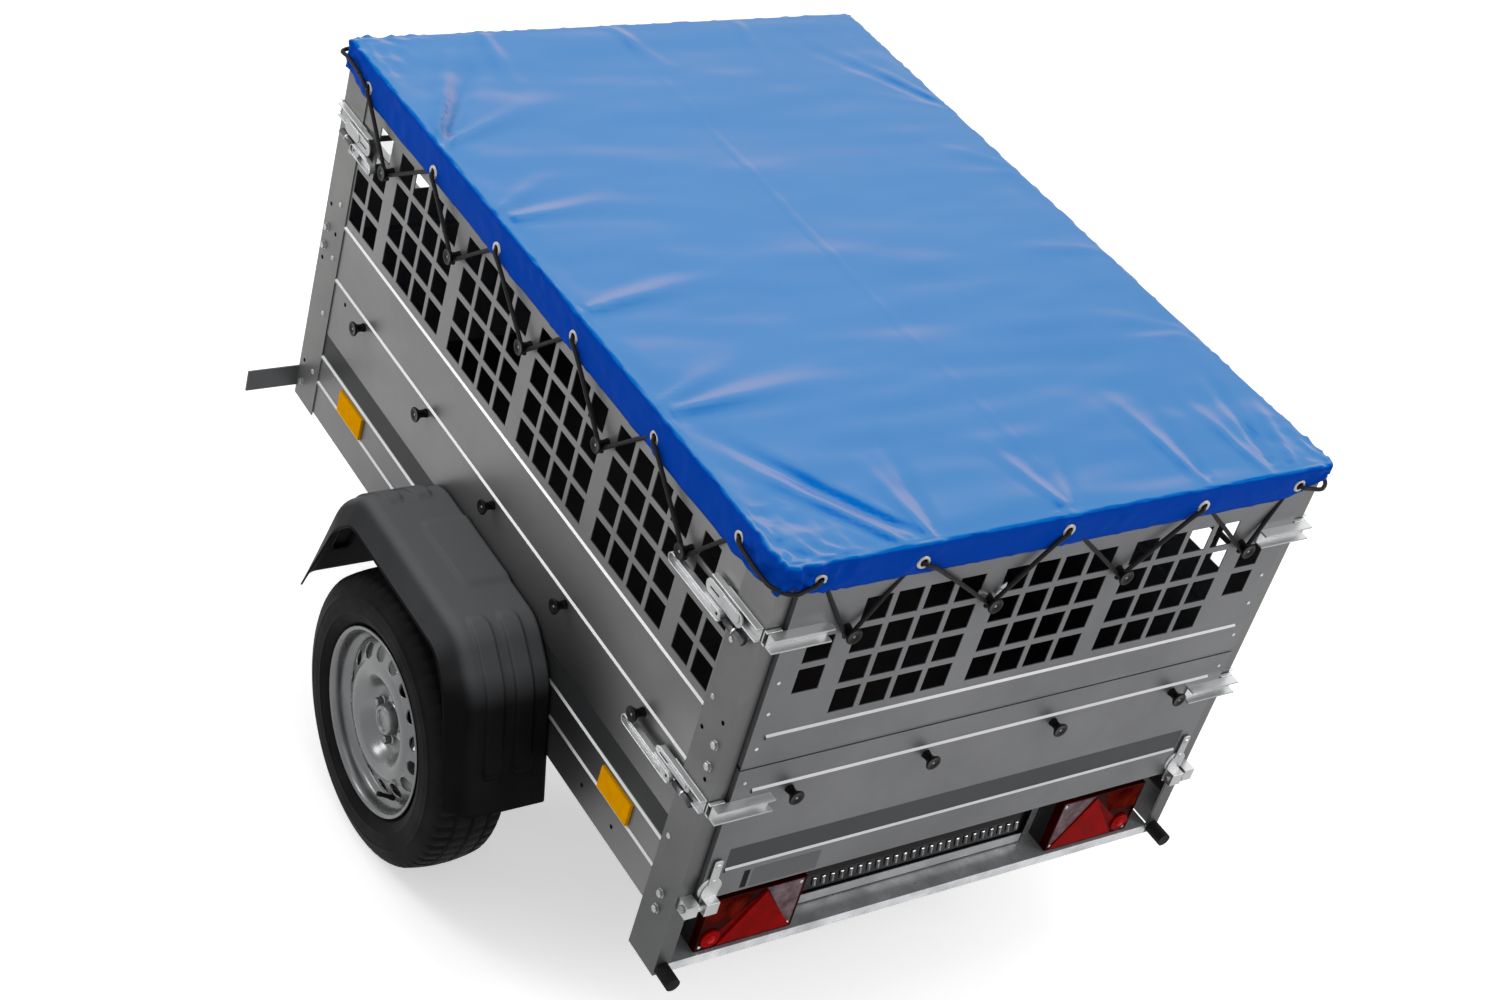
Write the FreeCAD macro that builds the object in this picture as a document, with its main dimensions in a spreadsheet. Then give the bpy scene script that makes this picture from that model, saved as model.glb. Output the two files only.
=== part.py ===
import FreeCAD, Part
import os
from math import cos, radians, sin
from FreeCAD import Placement, Rotation, Vector
from Sketcher import Constraint

doc = FreeCAD.newDocument("utility_trailer")
sheet = doc.addObject("Spreadsheet::Sheet", "Sizes")

# Driving sizes of the body, in millimetres
bodySizes = {
    "body_length": 1545,
    "body_width": 1135,
    "shelf_height": 356,
    "sill_rise": 85,
    "floor_rise": 158,
    "bead_rise": 220,
    "crease_rise": 402,
    "panel_rise": 463,
    "mesh_rise": 411,
    "rib_rise": 59,
    "skin_wall": 2,
    "post_wall": 2.5,
    "post_side": 83,
    "post_face": 27.5,
    "rear_post_drop": 21,
    "front_post_drop": 8,
    "return_width": 25,
    "bead_height": 3,
    "bead_width": 12,
    "end_clearance": 6,
    "gate_top_gap": 8,
}

# Square holes of the mesh sheets
meshSizes = {
    "hole_side": 50.6,
    "hole_pitch": 61.5,
    "row_pitch": 63.2,
    "first_row_rise": 108,
    "group_pitch": 276.6,
    "strip_width": 39,
    "hole_rows": 4,
    "group_columns": 4,
    "side_groups": 4,
    "end_groups": 3,
}

# Floor, beams and drawbar
frameSizes = {
    "floor_thickness": 9,
    "floor_inset": 22,
    "beam_height": 60,
    "beam_depth": 40,
    "beam_wall": 2.5,
    "recess_depth": 58,
    "lip_height": 21,
    "rail_inset": 145,
    "tube_side": 60,
    "tube_wall": 4,
    "tube_overlap": 100,
    "coupling_reach": 911,
    "coupling_length": 210,
    "socket_radius": 25.3,
    "socket_depth": 32,
    "socket_setback": 42,
    "handle_width": 34,
    "handle_height": 34,
    "handle_length": 150,
    "handle_wall": 6,
}

# Axle, hubs, rims and tyres
wheelSizes = {
    "axle_setback": 748,
    "axle_gap": 7,
    "wheel_offset": 94.5,
    "tyre_radius": 280,
    "tyre_half_width": 80,
    "bulge_radius": 236,
    "tread_half_width": 61,
    "bead_gap": 0.4,
    "rim_radius": 180,
    "seat_radius": 165,
    "rim_half_width": 66,
    "rim_wall": 4,
    "mount_offset": 24,
    "band_offset": 50,
    "crest_radius": 112,
    "dish_radius": 66,
    "pilot_radius": 29,
    "arm_reach": 145,
    "arm_width": 60,
    "arm_thickness": 22,
    "axle_inset": 47.5,
    "axle_side": 60,
    "stub_radius": 14,
    "running_gap": 0.06,
    "hub_radius": 40,
    "hub_flange_radius": 66,
    "hub_flange": 9,
    "hub_cap_radius": 28,
    "hub_cap_reach": 16,
    "vent_count": 16,
    "vent_corners": 10,
    "vent_radius": 13,
    "vent_circle": 131,
}

# Moulded mudguards
fenderSizes = {
    "fender_rise": 306.5,
    "fender_fold_rise": 232,
    "fender_foot_rise": 4,
    "fender_top_half": 191,
    "fender_fold_half": 273.5,
    "fender_foot_half": 345.7,
    "fender_crease": 157,
    "fender_flare": 31,
    "skirt_top_rise": 255,
    "skirt_fold_rise": 202,
    "skirt_top_half": 175.4,
    "skirt_fold_half": 228.6,
    "skirt_foot_half": 311.7,
    "fender_wall": 4,
    "fender_flange": 24,
    "fender_rib_height": 3,
    "fender_rib_width": 36,
    "fender_rib_start": 34,
    "fender_rib_gap": 22,
    "fender_rib_lead": 24,
    "fender_rib_foot": 70,
    "fender_panel_front": 95,
    "fender_panel_rear": 84,
    "fender_panel_width": 92,
    "fender_panel_corner": 14,
}

# Tailgate, its hinges, keepers and the latches
gateSizes = {
    "gate_proud": 10,
    "hinge_setback": 22,
    "hinge_drop": 3,
    "hinge_pin_radius": 5,
    "hinge_radius": 11,
    "hinge_block": 26,
    "strap_width": 34,
    "strap_height": 98,
    "strap_wall": 3,
    "keeper_drop": 24,
    "keeper_height": 27,
    "keeper_depth": 18,
    "keeper_length": 112,
    "upper_keeper_drop": 6,
    "latch_length": 245,
    "latch_base_length": 112,
    "latch_wall": 3,
    "lever_height": 20,
    "lever_depth": 12,
    "lever_wall": 2,
    "lever_stand": 8,
    "lever_start": 20,
    "lever_gap": 3,
    "front_latch_length": 175,
}

# Knobs for the cover's cord and the cover itself
coverSizes = {
    "knob_neck_radius": 7,
    "knob_head_radius": 13,
    "knob_neck": 17,
    "knob_head": 8,
    "lower_knob_rise": 386,
    "upper_knob_rise": 732,
    "side_knob_pitch": 276.6,
    "end_knob_pitch": 278.6,
    "side_knobs": 5,
    "end_knobs": 4,
    "cover_gap": 0.3,
    "cover_wall": 2.5,
    "cover_stand": 14,
    "cover_rear_stand": 26,
    "cover_front_stand": 28,
    "hem_drop": 74,
}

# Lamps, reflectors, number plate holder and buffers
lampSizes = {
    "lamp_width": 199,
    "lamp_height": 123,
    "lamp_inset": 52.5,
    "lamp_lift": 1,
    "lamp_front_gap": 8,
    "lens_depth": 16,
    "lens_relief": 4,
    "triangle_base": 150,
    "triangle_height": 108,
    "triangle_margin": 6,
    "round_lamp_radius": 19,
    "round_lamp_margin": 7,
    "plate_width": 510,
    "plate_height": 128,
    "plate_depth": 14,
    "plate_border": 6,
    "plate_recess": 3,
    "plate_strip": 26,
    "reflector_length": 100,
    "reflector_height": 48,
    "reflector_depth": 6,
    "reflector_rise": 165,
    "rear_reflector_start": 175,
    "front_reflector_share": 0.6236,
    "bracket_reach": 108.5,
    "bracket_height": 47,
    "bracket_rise": 94,
    "bracket_wall": 3,
    "marker_length": 62,
    "marker_height": 30,
    "marker_depth": 14,
    "marker_inset": 14,
    "marker_lift": 3,
    "buffer_radius": 13.5,
    "buffer_length": 41,
    "buffer_inset": 13.7,
    "buffer_drop": 6,
}

# Jockey wheel beside the drawbar
jockeySizes = {
    "jockey_reach": 480,
    "jockey_tube_radius": 24,
    "jockey_tube_length": 340,
    "jockey_tube_wall": 2.5,
    "leg_radius": 21,
    "leg_length": 336,
    "clamp_height": 50,
    "clamp_wall": 8,
    "clamp_screw_radius": 6,
    "clamp_screw_length": 34,
    "clamp_bar_radius": 5,
    "clamp_bar_length": 96,
    "jockey_radius": 100,
    "jockey_half_width": 25,
    "jockey_rim_radius": 58,
    "jockey_rim_recess": 9,
    "fork_gap": 6,
    "fork_wall": 5,
    "fork_half_length": 30,
    "fork_trail": 30,
    "fork_top_gap": 12,
    "pin_radius": 8,
    "pin_overhang": 6,
    "crank_radius": 9,
    "crank_rise": 26,
    "crank_reach": 90,
    "crank_grip": 50,
    "jockey_travel": 160,
    "travel_clearance": 6,
}

tables = [bodySizes, meshSizes, frameSizes, wheelSizes, fenderSizes, gateSizes, coverSizes,
          lampSizes, jockeySizes]
values = {}
for table in tables:
    for alias, number in table.items():
        values[alias] = number
        row = len(values)
        sheet.set("A%d" % row, alias)
        sheet.set("B%d" % row, str(number))
        sheet.setAlias("B%d" % row, alias)
doc.recompute()


class Size:
    # A number together with the sheet formula that gives it
    def __init__(self, value, text):
        self.value = value
        self.text = text

    def __add__(self, other):
        return combine(self, "+", other)

    def __radd__(self, other):
        return combine(other, "+", self)

    def __sub__(self, other):
        return combine(self, "-", other)

    def __rsub__(self, other):
        return combine(other, "-", self)

    def __mul__(self, other):
        return combine(self, "*", other)

    def __rmul__(self, other):
        return combine(other, "*", self)

    def __truediv__(self, other):
        return combine(self, "/", other)

    def __neg__(self):
        return Size(-self.value, "(-1 * %s)" % self.text)

    def __float__(self):
        return float(self.value)


def asSize(number):
    if isinstance(number, Size):
        return number
    return Size(float(number), "(%r)" % float(number))


def combine(left, sign, right):
    left, right = asSize(left), asSize(right)
    results = {
        "+": left.value + right.value,
        "-": left.value - right.value,
        "*": left.value * right.value,
        "/": left.value / right.value if right.value else 0.0,
    }
    return Size(results[sign], "(%s %s %s)" % (left.text, sign, right.text))


class SheetSizes:
    def __getattr__(self, alias):
        return Size(float(sheet.get(alias)), "Sizes." + alias)


s = SheetSizes()
nodes = []


def bind(thing, prop, size):
    thing.setExpression(prop, asSize(size).text)


def node(label, thing):
    thing.Label = label
    nodes.append(thing)
    return thing


def newBody(name):
    body = doc.addObject("PartDesign::Body", name)
    body.AllowCompound = True
    return body


def originPlane(body, role):
    for feature in body.Origin.OriginFeatures:
        if feature.Role == role:
            return feature


def profile(body, role, points, place):
    # Closed outline on a plane of the body; each corner is held by the sheet's sizes
    sketch = body.newObject("Sketcher::SketchObject", body.Name + "Outline")
    sketch.AttachmentSupport = [(originPlane(body, role), "")]
    sketch.MapMode = "FlatFace"
    turned = -place if role == "XZ_Plane" else place
    bind(sketch, "AttachmentOffset.Base.z", turned)
    corners = [(asSize(u), asSize(v)) for u, v in points]
    spots = [Vector(u.value, v.value, 0) for u, v in corners]
    count = len(spots)
    sketch.addGeometry([Part.LineSegment(spots[i], spots[(i + 1) % count]) for i in range(count)])
    for i in range(count):
        sketch.addConstraint(Constraint("Coincident", i, 2, (i + 1) % count, 1))
    for i, (u, v) in enumerate(corners):
        for kind, size, axis in (("DistanceX", u, -2), ("DistanceY", v, -1)):
            if size.value == 0:
                sketch.addConstraint(Constraint("PointOnObject", i, 1, axis))
            else:
                row = sketch.addConstraint(Constraint(kind, -1, 1, i, 1, size.value))
                bind(sketch, "Constraints[%d]" % row, size)
    return sketch


def rectangle(low, high):
    return [(low[0], low[1]), (high[0], low[1]), (high[0], high[1]), (low[0], high[1])]


def addPrism(body, role, points, low, high):
    start = high if role == "XZ_Plane" else low
    pad = body.newObject("PartDesign::Pad", body.Name + "Pad")
    pad.Profile = profile(body, role, points, asSize(start))
    bind(pad, "Length", asSize(high) - low)
    return pad


def cutPrism(body, role, points, low, high):
    start = low if role == "XZ_Plane" else high
    pocket = body.newObject("PartDesign::Pocket", body.Name + "Pocket")
    pocket.Profile = profile(body, role, points, asSize(start))
    bind(pocket, "Length", asSize(high) - low)
    return pocket


def revolve(body, points, place=0):
    # Turned about the plane's first axis, Y, with radius upwards
    turned = body.newObject("PartDesign::Revolution", body.Name + "Turned")
    outline = profile(body, "YZ_Plane", points, asSize(place))
    turned.Profile = outline
    turned.ReferenceAxis = (outline, ["H_Axis"])
    turned.Angle = 360
    return turned


def pattern(body, original, steps):
    # Copies a cut along the sketch axes; each step is an axis, a pitch and a count
    many = body.newObject("PartDesign::MultiTransform", body.Name + "Pattern")
    many.Originals = [original]
    rows = []
    for axis, pitch, count in steps:
        line = body.newObject("PartDesign::LinearPattern", body.Name + "Row")
        line.Direction = (original.Profile[0], [axis])
        bind(line, "Length", pitch * (count - 1))
        bind(line, "Occurrences", count)
        rows.append(line)
    many.Transformations = rows
    body.Tip = many
    return many


def box(name, x, y, z):
    solid = doc.addObject("Part::Box", name)
    for prop, axis, (low, high) in (("Length", "x", x), ("Width", "y", y), ("Height", "z", z)):
        bind(solid, prop, asSize(high) - low)
        bind(solid, "Placement.Base." + axis, low)
    return solid


turns = {
    "x": Rotation(Vector(0, 1, 0), 90),
    "y": Rotation(Vector(1, 0, 0), -90),
    "z": Rotation(),
}


def cylinder(name, axis, centre, radius, low, high):
    solid = doc.addObject("Part::Cylinder", name)
    solid.Placement = Placement(Vector(), turns[axis])
    bind(solid, "Radius", radius)
    bind(solid, "Height", asSize(high) - low)
    places = dict(zip("xyz", centre))
    places[axis] = low
    for letter, place in places.items():
        bind(solid, "Placement.Base." + letter, place)
    return solid


def fuse(name, pieces):
    joined = doc.addObject("Part::MultiFuse", name)
    joined.Shapes = pieces
    return joined


def cut(name, base, tool):
    left = doc.addObject("Part::Cut", name)
    left.Base = base
    left.Tool = tool
    return left


def mirrored(name, source):
    copy = doc.addObject("Part::Mirroring", name)
    copy.Source = source
    copy.Normal = Vector(0, 1, 0)
    return copy


def both(name, source):
    # A piece and its mirror image as one node with solids that do not touch
    pair = doc.addObject("Part::Compound", name)
    pair.Links = [source, mirrored(name + "Right", source)]
    return pair


def group(name, pieces):
    many = doc.addObject("Part::Compound", name)
    many.Links = pieces
    return many


# Main planes, worked out from the driving sizes
rear = (s.buffer_length - s.body_length - s.coupling_reach) / 2
front = rear + s.body_length
half = s.body_width / 2
side = half - s.post_wall
postInner = half - s.post_face
sill = s.shelf_height + s.sill_rise
floorTop = s.shelf_height + s.floor_rise
floorBottom = floorTop - s.floor_thickness
seam = s.shelf_height + s.panel_rise
meshTop = seam + s.mesh_rise
beamBottom = floorBottom - s.beam_height
panelStart = rear + s.post_wall
panelEnd = front - s.post_wall
wheelX = rear + s.axle_setback
wheelPlane = half + s.wheel_offset
axleX = wheelX + s.arm_reach
axleEnd = half - s.axle_inset
axleZ = beamBottom - s.tube_side - s.axle_gap - s.axle_side / 2
railCentre = side - s.rail_inset
gateFace = rear - s.gate_proud
gateHalf = postInner - s.end_clearance
lowerKnobZ = s.shelf_height + s.lower_knob_rise
upperKnobZ = s.shelf_height + s.upper_knob_rise


def makeFloor():
    floor = box("Floor", (rear + s.floor_inset, panelEnd - s.skin_wall),
                (-(side - s.skin_wall), side - s.skin_wall), (floorBottom, floorTop))
    node("floor_panel", floor)


def makeRearBeam():
    wall = rear + s.recess_depth
    body = newBody("RearBeam")
    shelf = s.shelf_height
    points = [
        (rear, shelf - s.lip_height),
        (rear, shelf),
        (wall, shelf),
        (wall, floorBottom),
        (wall + s.return_width, floorBottom),
        (wall + s.return_width, floorBottom - s.beam_wall),
        (wall + s.beam_wall, floorBottom - s.beam_wall),
        (wall + s.beam_wall, shelf - s.beam_wall),
        (rear + s.beam_wall, shelf - s.beam_wall),
        (rear + s.beam_wall, shelf - s.lip_height),
    ]
    addPrism(body, "XZ_Plane", points, -postInner, postInner)
    node("rear_beam", body)


def makeFrontBeam():
    face = panelEnd - s.skin_wall
    body = newBody("FrontBeam")
    points = [
        (face, beamBottom),
        (face, floorBottom),
        (face - s.beam_depth, floorBottom),
        (face - s.beam_depth, floorBottom - s.beam_wall),
        (face - s.beam_wall, floorBottom - s.beam_wall),
        (face - s.beam_wall, beamBottom + s.beam_wall),
        (face - s.beam_depth, beamBottom + s.beam_wall),
        (face - s.beam_depth, beamBottom),
    ]
    addPrism(body, "XZ_Plane", points, -(side - s.skin_wall), side - s.skin_wall)
    node("front_beam", body)


def makeRails():
    start = rear + s.recess_depth + s.return_width
    end = panelEnd - s.skin_wall - s.beam_depth
    inner, outer = railCentre - s.beam_depth / 2, railCentre + s.beam_depth / 2
    body = newBody("Rail")
    points = [
        (outer, beamBottom),
        (outer, floorBottom),
        (inner, floorBottom),
        (inner, floorBottom - s.beam_wall),
        (outer - s.beam_wall, floorBottom - s.beam_wall),
        (outer - s.beam_wall, beamBottom + s.beam_wall),
        (inner, beamBottom + s.beam_wall),
        (inner, beamBottom),
    ]
    addPrism(body, "YZ_Plane", points, start, end)
    node("side_rails", both("Rails", body))


def makeSidePanel():
    # Folded sheet with a return at the sill and at the top, and three rolled beads
    low, high = sill, seam
    body = newBody("SidePanel")
    inner = side - s.skin_wall
    points = [
        (side, low),
        (side, high),
        (side - s.return_width, high),
        (side - s.return_width, high - s.skin_wall),
        (inner, high - s.skin_wall),
        (inner, floorTop),
        (inner, low + s.skin_wall),
        (side - s.return_width, low + s.skin_wall),
        (side - s.return_width, low),
    ]
    addPrism(body, "YZ_Plane", points, panelStart, panelEnd)
    for rise in (s.floor_rise, s.bead_rise, s.crease_rise):
        addBead(body, "YZ_Plane", side, s.shelf_height + rise,
                rear + s.post_side, front - s.post_side)
    left = node("side_panel_left", body)
    node("side_panel_right", mirrored("SidePanelRight", left))


def addBead(body, role, face, height, low, high, outward=1):
    # Rolled bead: a low rounded ridge on a sheet's outer face
    foot, top = s.bead_width / 2, s.bead_width / 6
    points = [
        (face, height - foot),
        (face + outward * s.bead_height, height - top),
        (face + outward * s.bead_height, height + top),
        (face, height + foot),
    ]
    addPrism(body, role, points, low, high)


def makeFrontPanel():
    body = newBody("FrontPanel")
    addPrism(body, "YZ_Plane", rectangle((-postInner, beamBottom), (postInner, seam)),
             panelEnd - s.skin_wall, panelEnd)
    for rise in (s.floor_rise, s.bead_rise, s.crease_rise):
        addBead(body, "XZ_Plane", panelEnd, s.shelf_height + rise,
                -postInner + s.bead_width, postInner - s.bead_width)
    node("front_panel", body)


def cornerPost(name, atRear, low, high):
    # Angle section that wraps a vertical corner, sharp edge outwards
    face, inward = (rear, 1) if atRear else (front, -1)
    body = newBody(name)
    points = [
        (face, half),
        (face + inward * s.post_side, half),
        (face + inward * s.post_side, side),
        (face + inward * s.post_wall, side),
        (face + inward * s.post_wall, postInner),
        (face, postInner),
    ]
    addPrism(body, "XY_Plane", points, low, high)
    return body


def makePosts():
    rearLow = s.shelf_height - s.rear_post_drop
    node("rear_posts", both("RearPosts", cornerPost("RearPost", True, rearLow, seam)))
    frontLow = sill - s.front_post_drop
    node("front_posts", both("FrontPosts", cornerPost("FrontPost", False, frontLow, seam)))
    upper = [cornerPost("RearMeshPost", True, seam, meshTop),
             cornerPost("FrontMeshPost", False, seam, meshTop)]
    upper += [mirrored("MeshPostRight", post) for post in upper]
    node("mesh_posts", group("MeshPosts", upper))


def meshHoles(body, role, centre, low, high, groups, endRows):
    # Groups of square holes in rows and columns, with short columns at both ends
    halfHole = s.hole_side / 2
    firstRow = seam + s.first_row_rise
    groupSpan = s.hole_pitch * (s.group_columns - 1)
    start = centre - (s.group_pitch * (groups - 1) + groupSpan) / 2
    def hole(place, rise):
        outline = rectangle((place - halfHole, rise - halfHole), (place + halfHole, rise + halfHole))
        return cutPrism(body, role, outline, low, high)
    pattern(body, hole(start, firstRow), [
        ("V_Axis", s.row_pitch, s.hole_rows),
        ("H_Axis", s.hole_pitch, s.group_columns),
        ("H_Axis", s.group_pitch, groups),
    ])
    nextColumn = s.hole_side + s.strip_width
    farEnd = centre * 2 - start + nextColumn
    for place in (start - nextColumn, farEnd):
        for shift, firstHole, rows in endRows:
            outward = -shift if place is not farEnd else asSize(shift)
            first = hole(place + outward, firstRow + s.row_pitch * firstHole)
            pattern(body, first, [("V_Axis", s.row_pitch, asSize(rows))])


def makeSideMesh():
    body = newBody("SideMesh")
    inner = side - s.skin_wall
    points = [
        (side, seam),
        (side, meshTop),
        (side - s.return_width, meshTop),
        (side - s.return_width, meshTop - s.skin_wall),
        (inner, meshTop - s.skin_wall),
        (inner, seam + s.skin_wall),
        (side - s.return_width, seam + s.skin_wall),
        (side - s.return_width, seam),
    ]
    addPrism(body, "YZ_Plane", points, panelStart, panelEnd)
    addBead(body, "YZ_Plane", side, seam + s.rib_rise, rear + s.post_side, front - s.post_side)
    centre = (rear + front) / 2
    meshHoles(body, "XZ_Plane", centre, inner - s.skin_wall, side + s.skin_wall,
              s.side_groups, [(0, 0, 4), (s.hole_pitch, 0, 3)])
    left = node("mesh_left", body)
    node("mesh_right", mirrored("SideMeshRight", left))


def makeEndTray(name, face, inward, halfWidth, low, high):
    # Sheet folded inwards on all four edges
    body = newBody(name)
    back = face + inward * s.return_width
    inside = face + inward * s.skin_wall
    outer = rectangle((-halfWidth, low), (halfWidth, high))
    hollow = rectangle((-(halfWidth - s.skin_wall), low + s.skin_wall),
                       (halfWidth - s.skin_wall, high - s.skin_wall))
    if inward > 0:
        addPrism(body, "YZ_Plane", outer, face, back)
        cutPrism(body, "YZ_Plane", hollow, inside, back)
        return body
    addPrism(body, "YZ_Plane", outer, back, face)
    cutPrism(body, "YZ_Plane", hollow, back, inside)
    return body


def makeEndMeshes():
    low, high = seam, meshTop
    rearMesh = makeEndTray("RearMesh", gateFace, 1, gateHalf, low, high)
    addBead(rearMesh, "XZ_Plane", gateFace, seam + s.rib_rise,
            -(gateHalf - s.post_face), gateHalf - s.post_face, -1)
    meshHoles(rearMesh, "YZ_Plane", asSize(0), gateFace - s.skin_wall,
              gateFace + s.skin_wall * 2, s.end_groups, [(0, 1, 2)])
    node("mesh_rear", rearMesh)
    frontMesh = makeEndTray("FrontMesh", panelEnd, -1, postInner, low, high)
    addBead(frontMesh, "XZ_Plane", panelEnd, seam + s.rib_rise,
            -(gateHalf - s.post_face), gateHalf - s.post_face)
    meshHoles(frontMesh, "YZ_Plane", asSize(0), panelEnd - s.skin_wall * 2,
              panelEnd + s.skin_wall, s.end_groups, [(0, 1, 2)])
    node("mesh_front", frontMesh)


def makeTailgate():
    low, high = floorTop, seam - s.gate_top_gap
    gate = makeEndTray("Tailgate", gateFace, 1, gateHalf, low, high)
    for rise in (s.bead_rise, s.crease_rise):
        reach = gateHalf - s.strap_width - s.bead_height
        addBead(gate, "XZ_Plane", gateFace, s.shelf_height + rise, -reach, reach, -1)
    node("tailgate_panel", gate)


def makeHinges():
    hingeX, hingeZ = rear - s.hinge_setback, floorTop - s.hinge_drop
    knuckleOuter = gateHalf
    knuckleInner = knuckleOuter - s.strap_width
    knuckle = cylinder("Knuckle", "y", (hingeX, 0, hingeZ), s.hinge_radius,
                       knuckleInner, knuckleOuter)
    strap = box("Strap", (gateFace - s.strap_wall, gateFace), (knuckleInner, knuckleOuter),
                (hingeZ, hingeZ + s.strap_height))
    pinHole = cylinder("PinHole", "y", (hingeX, 0, hingeZ), s.hinge_pin_radius + s.running_gap,
                       knuckleInner, knuckleOuter)
    leaf = cut("HingeLeaf", fuse("LeafJoined", [knuckle, strap]), pinHole)
    node("tailgate_straps", both("TailgateStraps", leaf))
    halfBlock = s.hinge_block / 2
    block = box("HingeBlock", (hingeX - s.hinge_pin_radius, rear),
                (postInner, postInner + s.hinge_block - s.post_wall),
                (hingeZ - halfBlock, hingeZ + halfBlock))
    pin = cylinder("HingePin", "y", (hingeX, 0, hingeZ), s.hinge_pin_radius,
                   knuckleInner, postInner + halfBlock)
    node("hinge_brackets", both("HingeBrackets", fuse("HingeBracket", [block, pin])))


def keeperChannel(name, low):
    # Channel that hooks round the corner, open to the rear
    body = newBody(name)
    back = gateFace - s.keeper_depth
    high = low + s.keeper_height
    points = [
        (gateFace, low),
        (back, low),
        (back, low + s.latch_wall),
        (gateFace - s.latch_wall, low + s.latch_wall),
        (gateFace - s.latch_wall, high - s.latch_wall),
        (back, high - s.latch_wall),
        (back, high),
        (gateFace, high),
    ]
    addPrism(body, "XZ_Plane", points, half - s.keeper_length, half)
    return body


def sideLatch(name, atRear, low, knobHeight, length):
    # Over-centre latch on a side: base plate, two ears and a long open lever below the knob
    face, inward = (rear, 1) if atRear else (front, -1)
    def along(first, last):
        return (face + first, face + last) if inward > 0 else (face - last, face - first)
    top = knobHeight - s.knob_head_radius - s.lever_gap
    bottom = top - s.lever_height
    plateOuter = half + s.latch_wall
    base = box(name + "Base", along(s.latch_wall, s.latch_base_length), (half, plateOuter),
               (bottom, low + s.keeper_height))
    hook = box(name + "Hook", along(s.latch_wall, s.latch_wall + s.lever_stand),
               (plateOuter, plateOuter + s.lever_stand), (low, low + s.keeper_height))
    ears = []
    for place in (bottom, top - s.latch_wall):
        ears.append(box(name + "Ear", along(s.lever_start, s.latch_base_length - s.lever_start),
                        (plateOuter, half + s.lever_stand), (place, place + s.latch_wall)))
    back = half + s.lever_stand
    tipRadius = s.lever_height / 2
    tipX = face + inward * (length - tipRadius)
    def leverShape(part, shrink, first, last):
        trunk = box(name + part, along(s.lever_start + shrink, length - tipRadius), (first, last),
                    (bottom + shrink, top - shrink))
        tip = cylinder(name + part + "Tip", "y", (tipX, 0, bottom + tipRadius), tipRadius - shrink,
                       first, last)
        return fuse(name + part + "Shape", [trunk, tip])
    lever = cut(name + "Trough",
                leverShape("Lever", 0, back, back + s.lever_depth),
                leverShape("LeverInside", s.lever_wall, back + s.lever_wall, back + s.lever_depth))
    return fuse(name, [base, hook, lever] + ears)


def makeLatches():
    lower, upper = lowerKnobZ - s.keeper_drop, upperKnobZ - s.upper_keeper_drop
    node("tailgate_keepers", both("TailgateKeepers", keeperChannel("GateKeeper", lower)))
    node("rear_upper_keepers", both("UpperKeepers", keeperChannel("UpperKeeper", upper)))
    pair = [sideLatch("LowerLatch", True, lower, lowerKnobZ, s.latch_length),
            sideLatch("UpperLatch", True, upper, upperKnobZ, s.latch_length)]
    pair += [mirrored("LatchRight", latch) for latch in pair]
    node("rear_latches", group("RearLatches", pair))
    frontLatch = sideLatch("FrontLatch", False, upper, upperKnobZ, s.front_latch_length)
    node("front_latches", both("FrontLatches", frontLatch))


def prism(name, axis, centre, sides, radius, low, high):
    # Many-sided bar, for round pieces that repeat often
    bar = doc.addObject("Part::Prism", name)
    bar.Placement = Placement(Vector(), turns[axis])
    bar.Polygon = sides
    bind(bar, "Circumradius", radius)
    bind(bar, "Height", asSize(high) - low)
    places = dict(zip("xyz", centre))
    places[axis] = low
    for letter, place in places.items():
        bind(bar, "Placement.Base." + letter, place)
    return bar


def knob(name, axis, outward, centre):
    # Mushroom knob: a thin neck and a wider head
    places = dict(zip("xyz", centre))
    root = places[axis]
    neckEnd = root + outward * s.knob_neck
    headEnd = neckEnd + outward * s.knob_head
    def span(first, last):
        return (first, last) if outward > 0 else (last, first)
    neck = prism(name + "Neck", axis, centre, 8, s.knob_neck_radius, *span(root, neckEnd))
    head = prism(name + "Head", axis, centre, 12, s.knob_head_radius, *span(neckEnd, headEnd))
    return fuse(name, [neck, head])


def knobRow(name, axis, outward, face, height, count, pitch):
    knobs = []
    for place in range(values[count]):
        along = pitch * (place - (values[count] - 1) / 2)
        centre = (face, along, height) if axis == "x" else ((rear + front) / 2 + along, face, height)
        knobs.append(knob(name, axis, outward, centre))
    return knobs


def makeKnobs():
    knobs = []
    for height in (lowerKnobZ, upperKnobZ):
        for outward in (1, -1):
            knobs += knobRow("SideKnob", "y", outward, outward * side, height,
                             "side_knobs", s.side_knob_pitch)
        knobs += knobRow("FrontKnob", "x", 1, panelEnd, height, "end_knobs", s.end_knob_pitch)
    knobs += knobRow("RearKnob", "x", -1, gateFace, upperKnobZ, "end_knobs", s.end_knob_pitch)
    node("cover_knobs", group("CoverKnobs", knobs))
    gate = knobRow("GateKnob", "x", -1, gateFace, lowerKnobZ, "end_knobs", s.end_knob_pitch)
    node("tailgate_knobs", group("GateKnobs", gate))


def makeCover():
    under = meshTop + s.cover_gap
    top = under + s.cover_wall
    low = top - s.hem_drop
    x = (rear - s.cover_rear_stand, front + s.cover_front_stand)
    y = (-(half + s.cover_stand), half + s.cover_stand)
    outer = box("CoverOuter", x, y, (low, top))
    inner = box("CoverInner", (x[0] + s.cover_wall, x[1] - s.cover_wall),
                (y[0] + s.cover_wall, y[1] - s.cover_wall), (low, under))
    node("load_cover", cut("LoadCover", outer, inner))


def fenderSection(body, place, corners):
    points = [(wheelX + along, height) for along, height in corners]
    return profile(body, "XZ_Plane", points, place)


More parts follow.
